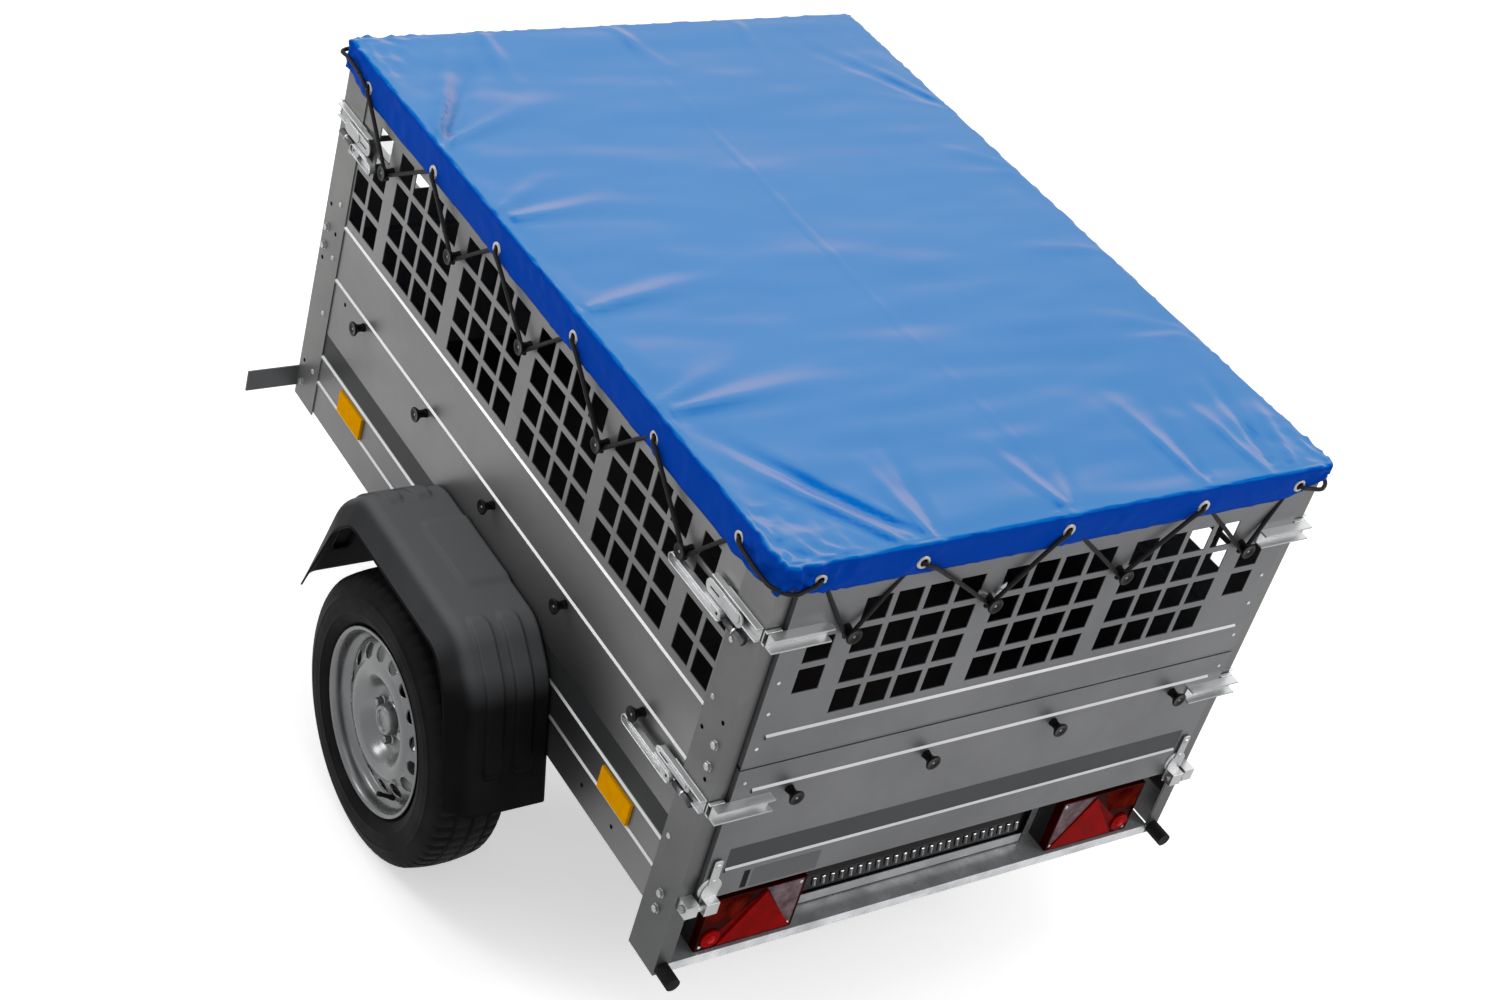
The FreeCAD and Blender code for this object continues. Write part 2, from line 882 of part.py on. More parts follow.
def hexagon(topHalf, top, foldHalf, fold, footHalf, foot):
    return [(-footHalf, foot), (-foldHalf, fold), (-topHalf, top),
            (topHalf, top), (foldHalf, fold), (footHalf, foot)]


def makeFenders():
    shelf = s.shelf_height
    wallPlane = side + s.bead_height
    crease = side + s.fender_crease
    lip = crease + s.fender_flare
    roof = hexagon(s.fender_top_half, shelf + s.fender_rise, s.fender_fold_half,
                   shelf + s.fender_fold_rise, s.fender_foot_half, shelf + s.fender_foot_rise)
    skirt = hexagon(s.skirt_top_half, shelf + s.skirt_top_rise, s.skirt_fold_half,
                    shelf + s.skirt_fold_rise, s.skirt_foot_half, shelf + s.fender_foot_rise)
    def inset(shape, wall, drop):
        (footHalf, foot), (foldHalf, fold), (topHalf, top) = shape[5], shape[4], shape[3]
        return hexagon(topHalf - wall / 2, top - wall, foldHalf - wall, fold - wall / 2,
                       footHalf - wall, foot - drop)
    body = newBody("Fender")
    loft = body.newObject("PartDesign::AdditiveLoft", "FenderOutside")
    loft.Profile = fenderSection(body, wallPlane, roof)
    loft.Sections = [fenderSection(body, crease, roof), fenderSection(body, lip, skirt)]
    loft.Ruled = True
    wall = s.fender_wall
    hollow = body.newObject("PartDesign::SubtractiveLoft", "FenderInside")
    hollow.Profile = fenderSection(body, wallPlane + wall, inset(roof, wall, wall))
    hollow.Sections = [fenderSection(body, crease - wall / 2, inset(roof, wall, wall)),
                       fenderSection(body, lip, inset(skirt, wall, wall))]
    hollow.Ruled = True
    flange = s.fender_flange
    opening = [(wheelX + along, height) for along, height in inset(roof, flange, flange)]
    cutPrism(body, "XZ_Plane", opening, wallPlane, wallPlane + wall)
    addFenderRibs(body, wallPlane)
    left = node("fender_left", body)
    node("fender_right", mirrored("FenderRight", left))


def addFenderRibs(body, wallPlane):
    # Two raised ribs that run over the front and rear folds, and a raised panel on the roof
    top, fold = s.shelf_height + s.fender_rise, s.shelf_height + s.fender_fold_rise
    foot = s.shelf_height + s.fender_foot_rise
    rib, lead = s.fender_rib_height, s.fender_rib_lead
    footShare = s.fender_rib_foot / (fold - foot)
    endHalf = s.fender_foot_half - (s.fender_foot_half - s.fender_fold_half) * footShare
    line = [(s.fender_top_half - lead, top), (s.fender_top_half, top), (s.fender_fold_half, fold),
            (endHalf, foot + s.fender_rib_foot)]
    outwardShares = [(0, 1), (0.4, 1), (0.9, 0.6), (1, 0.3)]
    outside = [(x + rib * across, z + rib * up)
               for (x, z), (across, up) in zip(line, outwardShares)]
    step = s.fender_rib_width + s.fender_rib_gap
    for end in (1, -1):
        points = [(wheelX + x * end, z) for x, z in line + outside[::-1]]
        for place in range(2):
            start = wallPlane + s.fender_rib_start + step * place
            addPrism(body, "XZ_Plane", points, start, start + s.fender_rib_width)
    corner = s.fender_panel_corner
    front, rearEnd = wheelX + s.fender_panel_front, wheelX - s.fender_panel_rear
    outer = wallPlane + s.fender_panel_width
    panel = [(rearEnd, wallPlane), (front, wallPlane), (front, outer - corner),
             (front - corner, outer), (rearEnd + corner, outer), (rearEnd, outer - corner)]
    addPrism(body, "XY_Plane", panel, top, top + rib)


def makeAxle():
    halfSide = s.axle_side / 2
    low, high = axleZ - halfSide, axleZ + halfSide
    tube = box("AxleTube", (axleX - halfSide, axleX + halfSide),
               (-axleEnd, axleEnd), (low, high))
    node("axle_beam", tube)
    bracket = box("AxleBracket", (axleX - s.axle_side, axleX + s.axle_side),
                  (railCentre - s.beam_depth / 2, railCentre + s.beam_depth / 2),
                  (high, beamBottom))
    node("axle_brackets", both("AxleBrackets", bracket))
    makeArms()


def makeArms():
    # Trailing arms of the rubber axle, with the stub axles that the hubs turn on
    inner = axleEnd
    outer = inner + s.arm_thickness
    halfArm = s.arm_width / 2
    body = newBody("SwingArm")
    points = [
        (wheelX - halfArm, s.tyre_radius - halfArm / 2),
        (wheelX + halfArm / 2, s.tyre_radius - halfArm),
        (axleX + halfArm, axleZ - halfArm / 2),
        (axleX + halfArm, axleZ + halfArm / 2),
        (axleX - halfArm / 2, axleZ + halfArm),
        (wheelX - halfArm, s.tyre_radius + halfArm / 2),
    ]
    addPrism(body, "XZ_Plane", points, inner, outer)
    stub = cylinder("StubAxle", "y", (wheelX, 0, s.tyre_radius), s.stub_radius,
                    outer, wheelPlane + s.mount_offset)
    node("swing_arms", both("SwingArms", fuse("SwingArm", [body, stub])))


def turnedPiece(name, points):
    body = newBody(name)
    revolve(body, points)
    bind(body, "Placement.Base.x", wheelX)
    bind(body, "Placement.Base.z", s.tyre_radius)
    return body


def makeTyres():
    centre, bead = wheelPlane, s.seat_radius + s.bead_gap
    flange = s.rim_half_width - s.rim_wall * 2 - s.bead_gap
    outer = [
        (flange, bead),
        (s.tyre_half_width, s.bulge_radius),
        (s.tread_half_width, s.tyre_radius),
    ]
    points = [(centre + reach, radius) for reach, radius in outer]
    points += [(centre - reach, radius) for reach, radius in reversed(outer)]
    left = node("tyre_left", turnedPiece("Tyre", points))
    node("tyre_right", mirrored("TyreRight", left))


def makeRims():
    # Flanged barrel with a dished disc: vented band, crest and flat mounting face
    centre, wall = wheelPlane, s.rim_wall
    edge, seat = s.rim_half_width, s.seat_radius
    inside = seat - wall
    discBack, bandBack = s.mount_offset - wall, s.band_offset - wall
    points = [
        (-edge, s.rim_radius),
        (-edge + wall * 2, seat),
        (edge - wall * 2, seat),
        (edge, s.rim_radius),
        (edge - wall / 2, inside),
        (s.band_offset, inside),
        (s.band_offset, s.crest_radius),
        (s.mount_offset, s.dish_radius),
        (s.mount_offset, s.pilot_radius),
        (discBack, s.pilot_radius),
        (discBack, s.dish_radius + wall),
        (bandBack, s.crest_radius + wall / 2),
        (bandBack, inside),
        (-edge + wall / 2, inside),
    ]
    body = turnedPiece("Rim", [(centre + reach, radius) for reach, radius in points])
    outline = []
    for corner in range(values["vent_corners"]):
        turn = radians(360 / values["vent_corners"] * corner)
        outline.append((s.vent_radius * cos(turn), s.vent_circle + s.vent_radius * sin(turn)))
    vent = cutPrism(body, "XZ_Plane", outline, centre, centre + s.rim_half_width)
    ring = body.newObject("PartDesign::PolarPattern", "RimVents")
    ring.Originals = [vent]
    ring.Axis = (originPlane(body, "Y_Axis"), [""])
    ring.Angle = 360
    bind(ring, "Occurrences", s.vent_count)
    body.Tip = ring
    left = node("rim_left", body)
    node("rim_right", mirrored("RimRight", left))


def makeHubs():
    start = axleEnd + s.arm_thickness + s.end_clearance
    face = wheelPlane + s.mount_offset - s.rim_wall
    bore = s.stub_radius + s.running_gap
    end = wheelPlane + s.mount_offset + s.end_clearance
    points = [
        (start, bore),
        (start, s.hub_radius),
        (face - s.hub_flange, s.hub_radius),
        (face - s.hub_flange, s.hub_flange_radius),
        (face, s.hub_flange_radius),
        (face, s.hub_cap_radius),
        (end + s.hub_cap_reach, s.hub_cap_radius),
        (end + s.hub_cap_reach, 0),
        (end, 0),
        (end, bore),
    ]
    left = node("hub_left", turnedPiece("Hub", points))
    node("hub_right", mirrored("HubRight", left))


def makeDrawbar():
    halfTube = s.tube_side / 2
    low = beamBottom - s.tube_side
    start, end = axleX - s.tube_overlap, front + s.coupling_reach - s.coupling_length
    outer = box("TubeOuter", (start, end), (-halfTube, halfTube), (low, beamBottom))
    wall = s.tube_wall
    inner = box("TubeInner", (start, end), (-(halfTube - wall), halfTube - wall),
                (low + wall, beamBottom - wall))
    node("drawbar_tube", cut("DrawbarTube", outer, inner))
    makeCoupling(end, low)


def makeCoupling(start, low):
    # Ball coupling: pressed housing with a round nose over the ball socket
    tip = front + s.coupling_reach
    ballX = tip - s.socket_setback
    shell = box("CouplingShell", (start, ballX), (-s.tube_side / 2, s.tube_side / 2),
                (low, beamBottom))
    nose = cylinder("CouplingNose", "z", (ballX, 0, 0), s.socket_setback, low, beamBottom - s.tube_wall)
    socket = cylinder("Socket", "z", (ballX, 0, 0), s.socket_radius, low, low + s.socket_depth)
    node("coupling_head", cut("CouplingHead", fuse("CouplingOuter", [shell, nose]), socket))
    handleStart = ballX - s.handle_length
    body = newBody("CouplingHandle")
    points = [
        (handleStart, beamBottom),
        (handleStart + s.handle_height, beamBottom),
        (ballX - s.handle_height, beamBottom + s.handle_height),
        (ballX, beamBottom + s.handle_height),
        (ballX, beamBottom + s.handle_height + s.handle_wall),
        (handleStart + s.handle_height, beamBottom + s.handle_height + s.handle_wall),
    ]
    addPrism(body, "XZ_Plane", points, -s.handle_width / 2, s.handle_width / 2)
    node("coupling_handle", body)


def makeLamps():
    low = s.shelf_height + s.lamp_lift
    outer = postInner - s.lamp_inset
    y = (outer - s.lamp_width, outer)
    z = (low, low + s.lamp_height)
    lensFront = rear + s.lamp_front_gap
    lensBack = lensFront + s.lens_depth
    housing = box("LampHousing", (lensBack, rear + s.recess_depth), y, z)
    node("lamp_housings", both("LampHousings", housing))
    lens = box("LampLens", (lensFront, lensBack), y, z)
    node("lamp_lenses", both("LampLenses", lens))
    makeLampReliefs(lensFront, y, z)
    makePlateHolder()


def makeLampReliefs(lensFront, y, z):
    # Triangular reflector beside the plate and a round lamp in the lower outer corner
    body = newBody("LampTriangle")
    inner, base = y[0] + s.triangle_margin, z[0] + s.triangle_margin
    points = [(inner, base), (inner + s.triangle_base, base),
              (inner + s.triangle_base / 2, base + s.triangle_height)]
    addPrism(body, "YZ_Plane", points, lensFront - s.lens_relief, lensFront)
    reach = s.round_lamp_radius + s.round_lamp_margin
    disc = cylinder("RoundLamp", "x", (0, y[1] - reach, z[0] + reach), s.round_lamp_radius,
                    lensFront - s.lens_relief, lensFront)
    pieces = [body, disc]
    pieces += [mirrored("LampReliefRight", piece) for piece in pieces]
    node("lamp_reflectors", group("LampReflectors", pieces))


def makePlateHolder():
    # Moulded holder: raised border round the plate field and a plain strip below it
    halfPlate, border = s.plate_width / 2, s.plate_border
    back = rear + s.recess_depth
    faceX = back - s.plate_depth
    low, high = s.shelf_height, s.shelf_height + s.plate_height
    body = newBody("PlateHolder")
    addPrism(body, "YZ_Plane", rectangle((-halfPlate, low), (halfPlate, high)), faceX, back)
    field = rectangle((-(halfPlate - border), low + s.plate_strip), (halfPlate - border, high - border))
    cutPrism(body, "YZ_Plane", field, faceX - s.plate_recess, faceX + s.plate_recess)
    node("plate_holder", body)


def makeReflectors():
    low = s.shelf_height + s.reflector_rise
    pieces = []
    guardFront = wheelX + s.fender_foot_half
    free = front - s.post_side - guardFront - s.reflector_length
    for start in (rear + s.rear_reflector_start, guardFront + free * s.front_reflector_share):
        pieces.append(box("Reflector", (start, start + s.reflector_length),
                          (side, side + s.reflector_depth), (low, low + s.reflector_height)))
    pieces += [mirrored("ReflectorRight", piece) for piece in pieces]
    node("side_reflectors", group("SideReflectors", pieces))
    plateLow = s.shelf_height + s.bracket_rise
    outer = half + s.bracket_reach
    arm = box("MarkerArm", (front, front + s.bracket_wall), (postInner, outer),
              (plateLow, plateLow + s.bracket_height))
    node("marker_brackets", both("MarkerBrackets", arm))
    markerLow, markerEnd = plateLow + s.marker_lift, outer - s.marker_inset
    marker = box("Marker", (front + s.bracket_wall, front + s.bracket_wall + s.marker_depth),
                 (markerEnd - s.marker_length, markerEnd), (markerLow, markerLow + s.marker_height))
    node("front_markers", both("FrontMarkers", marker))
    buffer = cylinder("Buffer", "x", (0, half - s.buffer_inset, s.shelf_height - s.buffer_drop),
                      s.buffer_radius, rear - s.buffer_length, rear)
    node("rubber_buffers", both("RubberBuffers", buffer))


def makeJockey():
    # Jockey wheel on the right of the drawbar: clamp, tube, leg, fork and wheel
    x = front + s.jockey_reach
    tubeFace = -s.tube_side / 2
    y = tubeFace - s.clamp_wall - s.jockey_tube_radius
    forkTop = s.jockey_radius * 2 + s.fork_top_gap + s.fork_wall
    tubeLow = forkTop + s.jockey_travel + s.travel_clearance
    tubeHigh = tubeLow + s.jockey_tube_length
    clampMiddle = beamBottom - s.tube_side / 2
    halfClamp = s.clamp_height / 2
    reach = s.jockey_tube_radius + s.clamp_wall
    clampBody = box("ClampBody", (x - reach, x + reach), (y - reach, tubeFace),
                    (clampMiddle - halfClamp, clampMiddle + halfClamp))
    clampHole = cylinder("ClampHole", "z", (x, y, 0), s.jockey_tube_radius,
                         clampMiddle - halfClamp, clampMiddle + halfClamp)
    screw = cylinder("ClampScrew", "y", (x, 0, clampMiddle), s.clamp_screw_radius,
                     y - reach - s.clamp_screw_length, y - reach)
    barY = y - reach - s.clamp_screw_length + s.clamp_bar_radius
    bar = cylinder("ClampBar", "x", (0, barY, clampMiddle), s.clamp_bar_radius,
                   x - s.clamp_bar_length / 2, x + s.clamp_bar_length / 2)
    node("jockey_clamp", fuse("JockeyClamp", [cut("ClampBored", clampBody, clampHole), screw, bar]))
    outer = cylinder("TubeShell", "z", (x, y, 0), s.jockey_tube_radius, tubeLow, tubeHigh)
    bore = cylinder("TubeBore", "z", (x, y, 0), s.jockey_tube_radius - s.jockey_tube_wall,
                    tubeLow, tubeHigh - s.jockey_tube_wall)
    screw = cylinder("CrankPost", "z", (x, y, 0), s.crank_radius, tubeHigh, tubeHigh + s.crank_rise)
    arm = box("CrankArm", (x - s.crank_radius, x + s.crank_reach),
              (y - s.crank_radius, y + s.crank_radius),
              (tubeHigh + s.crank_rise - s.crank_radius, tubeHigh + s.crank_rise))
    grip = cylinder("CrankGrip", "z", (x + s.crank_reach - s.crank_radius, y, 0), s.crank_radius,
                    tubeHigh + s.crank_rise, tubeHigh + s.crank_rise + s.crank_grip)
    shell = cut("TubeHollow", outer, bore)
    node("jockey_tube", fuse("JockeyTube", [shell, screw, arm, grip]))
    leg = cylinder("JockeyLeg", "z", (x, y, 0), s.leg_radius, forkTop, forkTop + s.leg_length)
    node("jockey_leg", leg)
    makeJockeyWheel(x, y, forkTop)


def makeJockeyWheel(x, y, forkTop):
    inner = s.jockey_half_width + s.fork_gap
    outer = inner + s.fork_wall
    centreX = x - s.fork_trail
    top = box("ForkTop", (centreX - s.fork_half_length, x + s.fork_half_length),
              (y - outer, y + outer), (forkTop - s.fork_wall, forkTop))
    middle = s.jockey_radius
    points = [
        (centreX - s.fork_half_length, forkTop),
        (centreX - s.fork_half_length / 2, middle - s.fork_half_length / 2),
        (centreX + s.fork_half_length / 2, middle - s.fork_half_length / 2),
        (x + s.fork_half_length, forkTop),
    ]
    cheeks = []
    for near, far in ((y - outer, y - inner), (y + inner, y + outer)):
        cheeks.append(newBody("ForkCheek"))
        addPrism(cheeks[-1], "XZ_Plane", points, near, far)
    pin = cylinder("ForkPin", "y", (centreX, 0, middle), s.pin_radius,
                   y - outer - s.pin_overhang, y + outer + s.pin_overhang)
    node("jockey_fork", fuse("JockeyFork", [top, pin] + cheeks))
    halfWidth, recess = s.jockey_half_width, s.jockey_rim_recess
    bore = s.pin_radius + s.running_gap
    profileSide = [(halfWidth - recess, bore), (halfWidth - recess, s.jockey_rim_radius),
                   (halfWidth, s.jockey_rim_radius), (halfWidth, middle)]
    points = profileSide + [(-reach, radius) for reach, radius in reversed(profileSide)]
    wheel = newBody("JockeyWheel")
    revolve(wheel, points)
    for letter, place in zip("xyz", (centreX, y, middle)):
        bind(wheel, "Placement.Base." + letter, place)
    node("jockey_wheel", wheel)


makeFloor()
makeRearBeam()
makeFrontBeam()
makeRails()
makeSidePanel()
makeFrontPanel()
makePosts()
makeSideMesh()
makeEndMeshes()
makeTailgate()
makeHinges()
makeLatches()
makeKnobs()
makeCover()
makeFenders()
makeAxle()
makeTyres()
makeRims()
makeHubs()
makeDrawbar()
makeLamps()
makeReflectors()
makeJockey()
doc.recompute()

for thing in doc.Objects:
    if "Invalid" in thing.State or "Error" in thing.State:
        raise RuntimeError("%s failed: %s" % (thing.Label, thing.State))
for thing in nodes:
    if thing.Shape.isNull() or not thing.Shape.isValid():
        raise RuntimeError("%s has no valid shape" % thing.Label)

os.makedirs("parts", exist_ok=True)
for thing in nodes:
    thing.Shape.exportStep("parts/%s.step" % thing.Label)
    print(thing.Label, len(thing.Shape.Solids), round(thing.Shape.Volume))
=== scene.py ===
import math

import bmesh
import bpy
from mathutils import Matrix, Vector
from mathutils.noise import noise


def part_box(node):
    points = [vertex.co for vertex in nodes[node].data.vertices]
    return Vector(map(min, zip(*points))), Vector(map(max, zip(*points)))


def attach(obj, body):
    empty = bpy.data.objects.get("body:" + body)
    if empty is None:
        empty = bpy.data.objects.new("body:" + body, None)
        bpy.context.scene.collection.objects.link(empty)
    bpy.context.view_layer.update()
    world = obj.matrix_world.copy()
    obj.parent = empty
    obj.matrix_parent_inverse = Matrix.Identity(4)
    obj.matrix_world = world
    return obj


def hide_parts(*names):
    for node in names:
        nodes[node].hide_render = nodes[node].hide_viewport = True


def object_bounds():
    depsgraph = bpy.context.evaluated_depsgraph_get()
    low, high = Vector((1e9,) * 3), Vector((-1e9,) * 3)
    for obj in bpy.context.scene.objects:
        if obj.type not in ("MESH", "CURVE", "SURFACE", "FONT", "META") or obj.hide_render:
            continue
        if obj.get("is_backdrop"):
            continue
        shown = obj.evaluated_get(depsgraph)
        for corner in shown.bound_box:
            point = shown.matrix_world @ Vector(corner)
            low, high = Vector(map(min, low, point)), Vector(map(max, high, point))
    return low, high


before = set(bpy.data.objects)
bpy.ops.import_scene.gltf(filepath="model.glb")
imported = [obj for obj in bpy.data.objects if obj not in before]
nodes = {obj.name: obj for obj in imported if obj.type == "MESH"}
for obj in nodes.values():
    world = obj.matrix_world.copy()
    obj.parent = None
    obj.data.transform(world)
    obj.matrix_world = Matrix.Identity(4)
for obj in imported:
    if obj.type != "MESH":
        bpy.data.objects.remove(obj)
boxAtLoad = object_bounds()
mm = 0.001
print("frame loaded:", len(nodes), "nodes")


# Places taken from the frame
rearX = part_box("rear_posts")[0].x
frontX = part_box("front_posts")[1].x
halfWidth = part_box("rear_posts")[1].y
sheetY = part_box("floor_panel")[1].y + 2 * mm  # outer face of the side sheets
beadRise = 3 * mm  # of a rolled bead over its sheet
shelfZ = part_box("plate_holder")[0].z
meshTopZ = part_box("mesh_posts")[1].z
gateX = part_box("tailgate_panel")[0].x + beadRise  # face of the tailgate, behind its beads


def onSide(fromRear, aboveShelf, sign=1):
    return Vector((rearX + fromRear * mm, sign * sheetY, shelfZ + aboveShelf * mm))


def onRear(across, aboveShelf):
    return Vector((gateX, across * mm, shelfZ + aboveShelf * mm))


def sideOf(box):
    return 1 if box[0].y > 0 else -1


# Camera, from the photograph's own perspective
cameraView = {"place": (-3.3720, 2.6017, 3.4297), "looksAlong": (0.60962, -0.54267, -0.57782),
              "rollDegrees": 17.28, "lens": 60.33, "sensorWidth": 36, "clipEnd": 100}


def addObject(name, data):
    thing = bpy.data.objects.new(name, data)
    bpy.context.scene.collection.objects.link(thing)
    return thing


def aim(thing, place, direction, rollDegrees=0):
    thing.location = place
    thing.rotation_mode = "QUATERNION"
    roll = Matrix.Rotation(math.radians(rollDegrees), 4, "Z").to_quaternion()
    thing.rotation_quaternion = Vector(direction).to_track_quat("-Z", "Y") @ roll


def makeCamera():
    data = bpy.data.cameras.new("camera")
    data.sensor_width = cameraView["sensorWidth"]
    data.lens = cameraView["lens"]
    data.clip_end = cameraView["clipEnd"]
    camera = addObject("camera", data)
    aim(camera, cameraView["place"], cameraView["looksAlong"], cameraView["rollDegrees"])
    bpy.context.scene.camera = camera
    bpy.context.scene.view_settings.view_transform = "Standard"


makeCamera()
print("camera ready")


# Shader nodes
materials = {}


def feed(tree, node, inputs):
    # An input that is a socket is linked, any other is a value
    for label, value in inputs.items():
        if isinstance(value, bpy.types.NodeSocket):
            tree.links.new(value, node.inputs[label])
        else:
            node.inputs[label].default_value = value


def addNode(tree, kind, inputs=None, **settings):
    node = tree.nodes.new("ShaderNode" + kind)
    for name, value in settings.items():
        setattr(node, name, value)
    feed(tree, node, inputs or {})
    return node


def calculate(tree, operation, *values, kind="Math"):
    # First output of a math node whose inputs are given in order
    return addNode(tree, kind, dict(enumerate(values)), operation=operation).outputs[0]


def addRamp(tree, value, start, end, low=0.0, high=1.0, kind="LINEAR"):
    return addNode(tree, "MapRange", {"Value": value, "From Min": start, "From Max": end,
                                      "To Min": low, "To Max": high},
                   interpolation_type=kind).outputs["Result"]


def addPlace(tree):
    # Place in the object's own space
    return addNode(tree, "TexCoord").outputs["Object"]


def newTree(name):
    material = bpy.data.materials.new(name)
    material.use_nodes = True
    materials[name] = material
    return material.node_tree


def paint(tree, inputs):
    feed(tree, tree.nodes["Principled BSDF"], inputs)


# Light, sky and floor
studio = {
    "skyStrength": 0.55, "floorColor": (0.93, 0.93, 0.93, 1), "floorLift": 0.5,
    "floorRough": 0.9, "floorSpec": 0.1, "floorReach": 40, "floorDrop": 1 * mm,
    "lamps": {"top_lamp": (44, 4.0, (-0.4, 0.6, 5.2), (-0.4, 0, 0.8)),  # power, size, place, target
              "front_lamp": (60, 1.5, (2.6, 3.4, 3.2), (-0.4, 0.5, 0.7)),
              "rear_lamp": (60, 1.5, (-4.0, -3.0, 3.7), (-1.1, 0, 0.7)),
              "sheen_lamp": (7, 2.6, (3.0, -2.4, 4.6), (-0.5, 0.2, 1.2))},
}


def cameraShare(tree):
    # 1 where the camera, a reflection or a clear lens looks at the backdrop
    path = addNode(tree, "LightPath").outputs
    seen = calculate(tree, "MAXIMUM", path["Is Camera Ray"], path["Is Glossy Ray"])
    return calculate(tree, "MAXIMUM", seen, path["Is Transmission Ray"])


def makeSky():
    world = bpy.data.worlds.new("sky")
    bpy.context.scene.world = world
    world.use_nodes = True
    tree = world.node_tree
    strength = addRamp(tree, cameraShare(tree), 0, 1, studio["skyStrength"])
    feed(tree, tree.nodes["Background"], {"Color": (1, 1, 1, 1), "Strength": strength})


def makeLamps():
    for name, (power, size, place, target) in studio["lamps"].items():
        data = bpy.data.lights.new(name, "AREA")
        data.energy = power
        data.size = size
        aim(addObject(name, data), place, Vector(target) - Vector(place))


def makeFloor():
    reach = studio["floorReach"]
    mesh = bpy.data.meshes.new("studio_floor")
    mesh.from_pydata([(-reach, -reach, 0), (reach, -reach, 0), (reach, reach, 0), (-reach, reach, 0)],
                     [], [(0, 1, 2, 3)])
    floor = addObject("studio_floor", mesh)
    floor.location.z = -studio["floorDrop"]
    tree = newTree("floor_paint")
    paint(tree, {"Base Color": studio["floorColor"], "Roughness": studio["floorRough"],
                 "Specular IOR Level": studio["floorSpec"], "Emission Color": (1, 1, 1, 1),
                 "Emission Strength": calculate(tree, "MULTIPLY", cameraShare(tree),
                                                studio["floorLift"])})
    mesh.materials.append(materials["floor_paint"])
    floor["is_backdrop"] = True


makeSky()
makeLamps()
makeFloor()
print("studio ready")


# Shader groups shared by the materials
def newGroup(name, inputs, outputs):
    # Inputs by name and default value, outputs by name and kind
    group = bpy.data.node_groups.new(name, "ShaderNodeTree")
    for label, value in inputs.items():
        kind = {3: "Vector", 4: "Color"}[len(value)] if isinstance(value, tuple) else "Float"
        socket = group.interface.new_socket(name=label, in_out="INPUT", socket_type="NodeSocket" + kind)
        socket.default_value = value
    for label, kind in outputs.items():
        group.interface.new_socket(name=label, in_out="OUTPUT", socket_type="NodeSocket" + kind)
    return group, group.nodes.new("NodeGroupInput").outputs, group.nodes.new("NodeGroupOutput")


def addMix(tree, share, first, second):
    return addNode(tree, "Mix", {"Factor": share, "A": first, "B": second},
                   data_type="RGBA").outputs["Result"]


def addNoise(tree, where, scale, detail, rough=0.5):
    return addNode(tree, "TexNoise", {"Vector": where, "Scale": scale, "Detail": detail,
                                      "Roughness": rough}).outputs["Fac"]


def makeClouding():
    # Slow change of shade over a surface: two colours mixed by layered noise
    group, given, result = newGroup(
        "clouding", {"Light": (1, 1, 1, 1), "Dark": (0, 0, 0, 1), "Scale": 6.0, "Spread": 0.5},
        {"Color": "Color", "Mask": "Float"})
    clouds = addRamp(group, addNoise(group, addPlace(group), given["Scale"], 5, 0.62), 0.3, 0.7)
    share = calculate(group, "MULTIPLY", clouds, given["Spread"])
    mixed = addMix(group, share, given["Light"], given["Dark"])
    feed(group, result, {"Color": mixed, "Mask": share})
    return group


def makeGrain():
    # Fine relief for a bump: noise stretched along one direction
    group, given, result = newGroup("grain", {"Scale": 300.0, "Stretch": (1, 1, 1)},
                                    {"Height": "Float"})
    squeezed = calculate(group, "MULTIPLY", addPlace(group), given["Stretch"], kind="VectorMath")
    feed(group, result, {"Height": addNoise(group, squeezed, given["Scale"], 3)})
    return group


def makeFacing():
    # How far a face looks along a direction, with an edge broken up by noise
    group, given, result = newGroup(
        "facing", {"Direction": (0, 0, 1), "Start": 0.05, "Full": 0.95, "Ragged": 0.2, "Scale": 4.0},
        {"Mask": "Float"})
    normal = addNode(group, "NewGeometry").outputs["Normal"]
    along = addNode(group, "VectorMath", {0: normal, 1: given["Direction"]}, operation="DOT_PRODUCT")
    rough = addNoise(group, addPlace(group), given["Scale"], 4)
    broken = calculate(group, "MULTIPLY_ADD", calculate(group, "SUBTRACT", rough, 0.5),
                       given["Ragged"], along.outputs["Value"])
    feed(group, result, {"Mask": addRamp(group, broken, given["Start"], given["Full"],
                                         kind="SMOOTHSTEP")})
    return group


def makePatch():
    # Soft round patch in side view: full in its middle, gone at its edge
    group, given, result = newGroup(
        "patch", {"Middle": (0, 0, 0), "Stretch": (1, 0, 1), "Most": 1.0}, {"Mask": "Float"})
    shifted = calculate(group, "SUBTRACT", addPlace(group), given["Middle"], kind="VectorMath")
    squeezed = calculate(group, "MULTIPLY", shifted, given["Stretch"], kind="VectorMath")
    length = addNode(group, "VectorMath", {0: squeezed}, operation="LENGTH").outputs["Value"]
    feed(group, result, {"Mask": addRamp(group, length, 1, 0, high=given["Most"],
                                         kind="SMOOTHSTEP")})
    return group


def tintBy(tree, group, values, base, color):
    # Lays a colour over the base where a group's mask says
    mask = addNode(tree, "Group", values, node_tree=group).outputs["Mask"]
    return addMix(tree, mask, base, (*color, 1)), mask


clouding, grain, facing, patch = makeClouding(), makeGrain(), makeFacing(), makePatch()

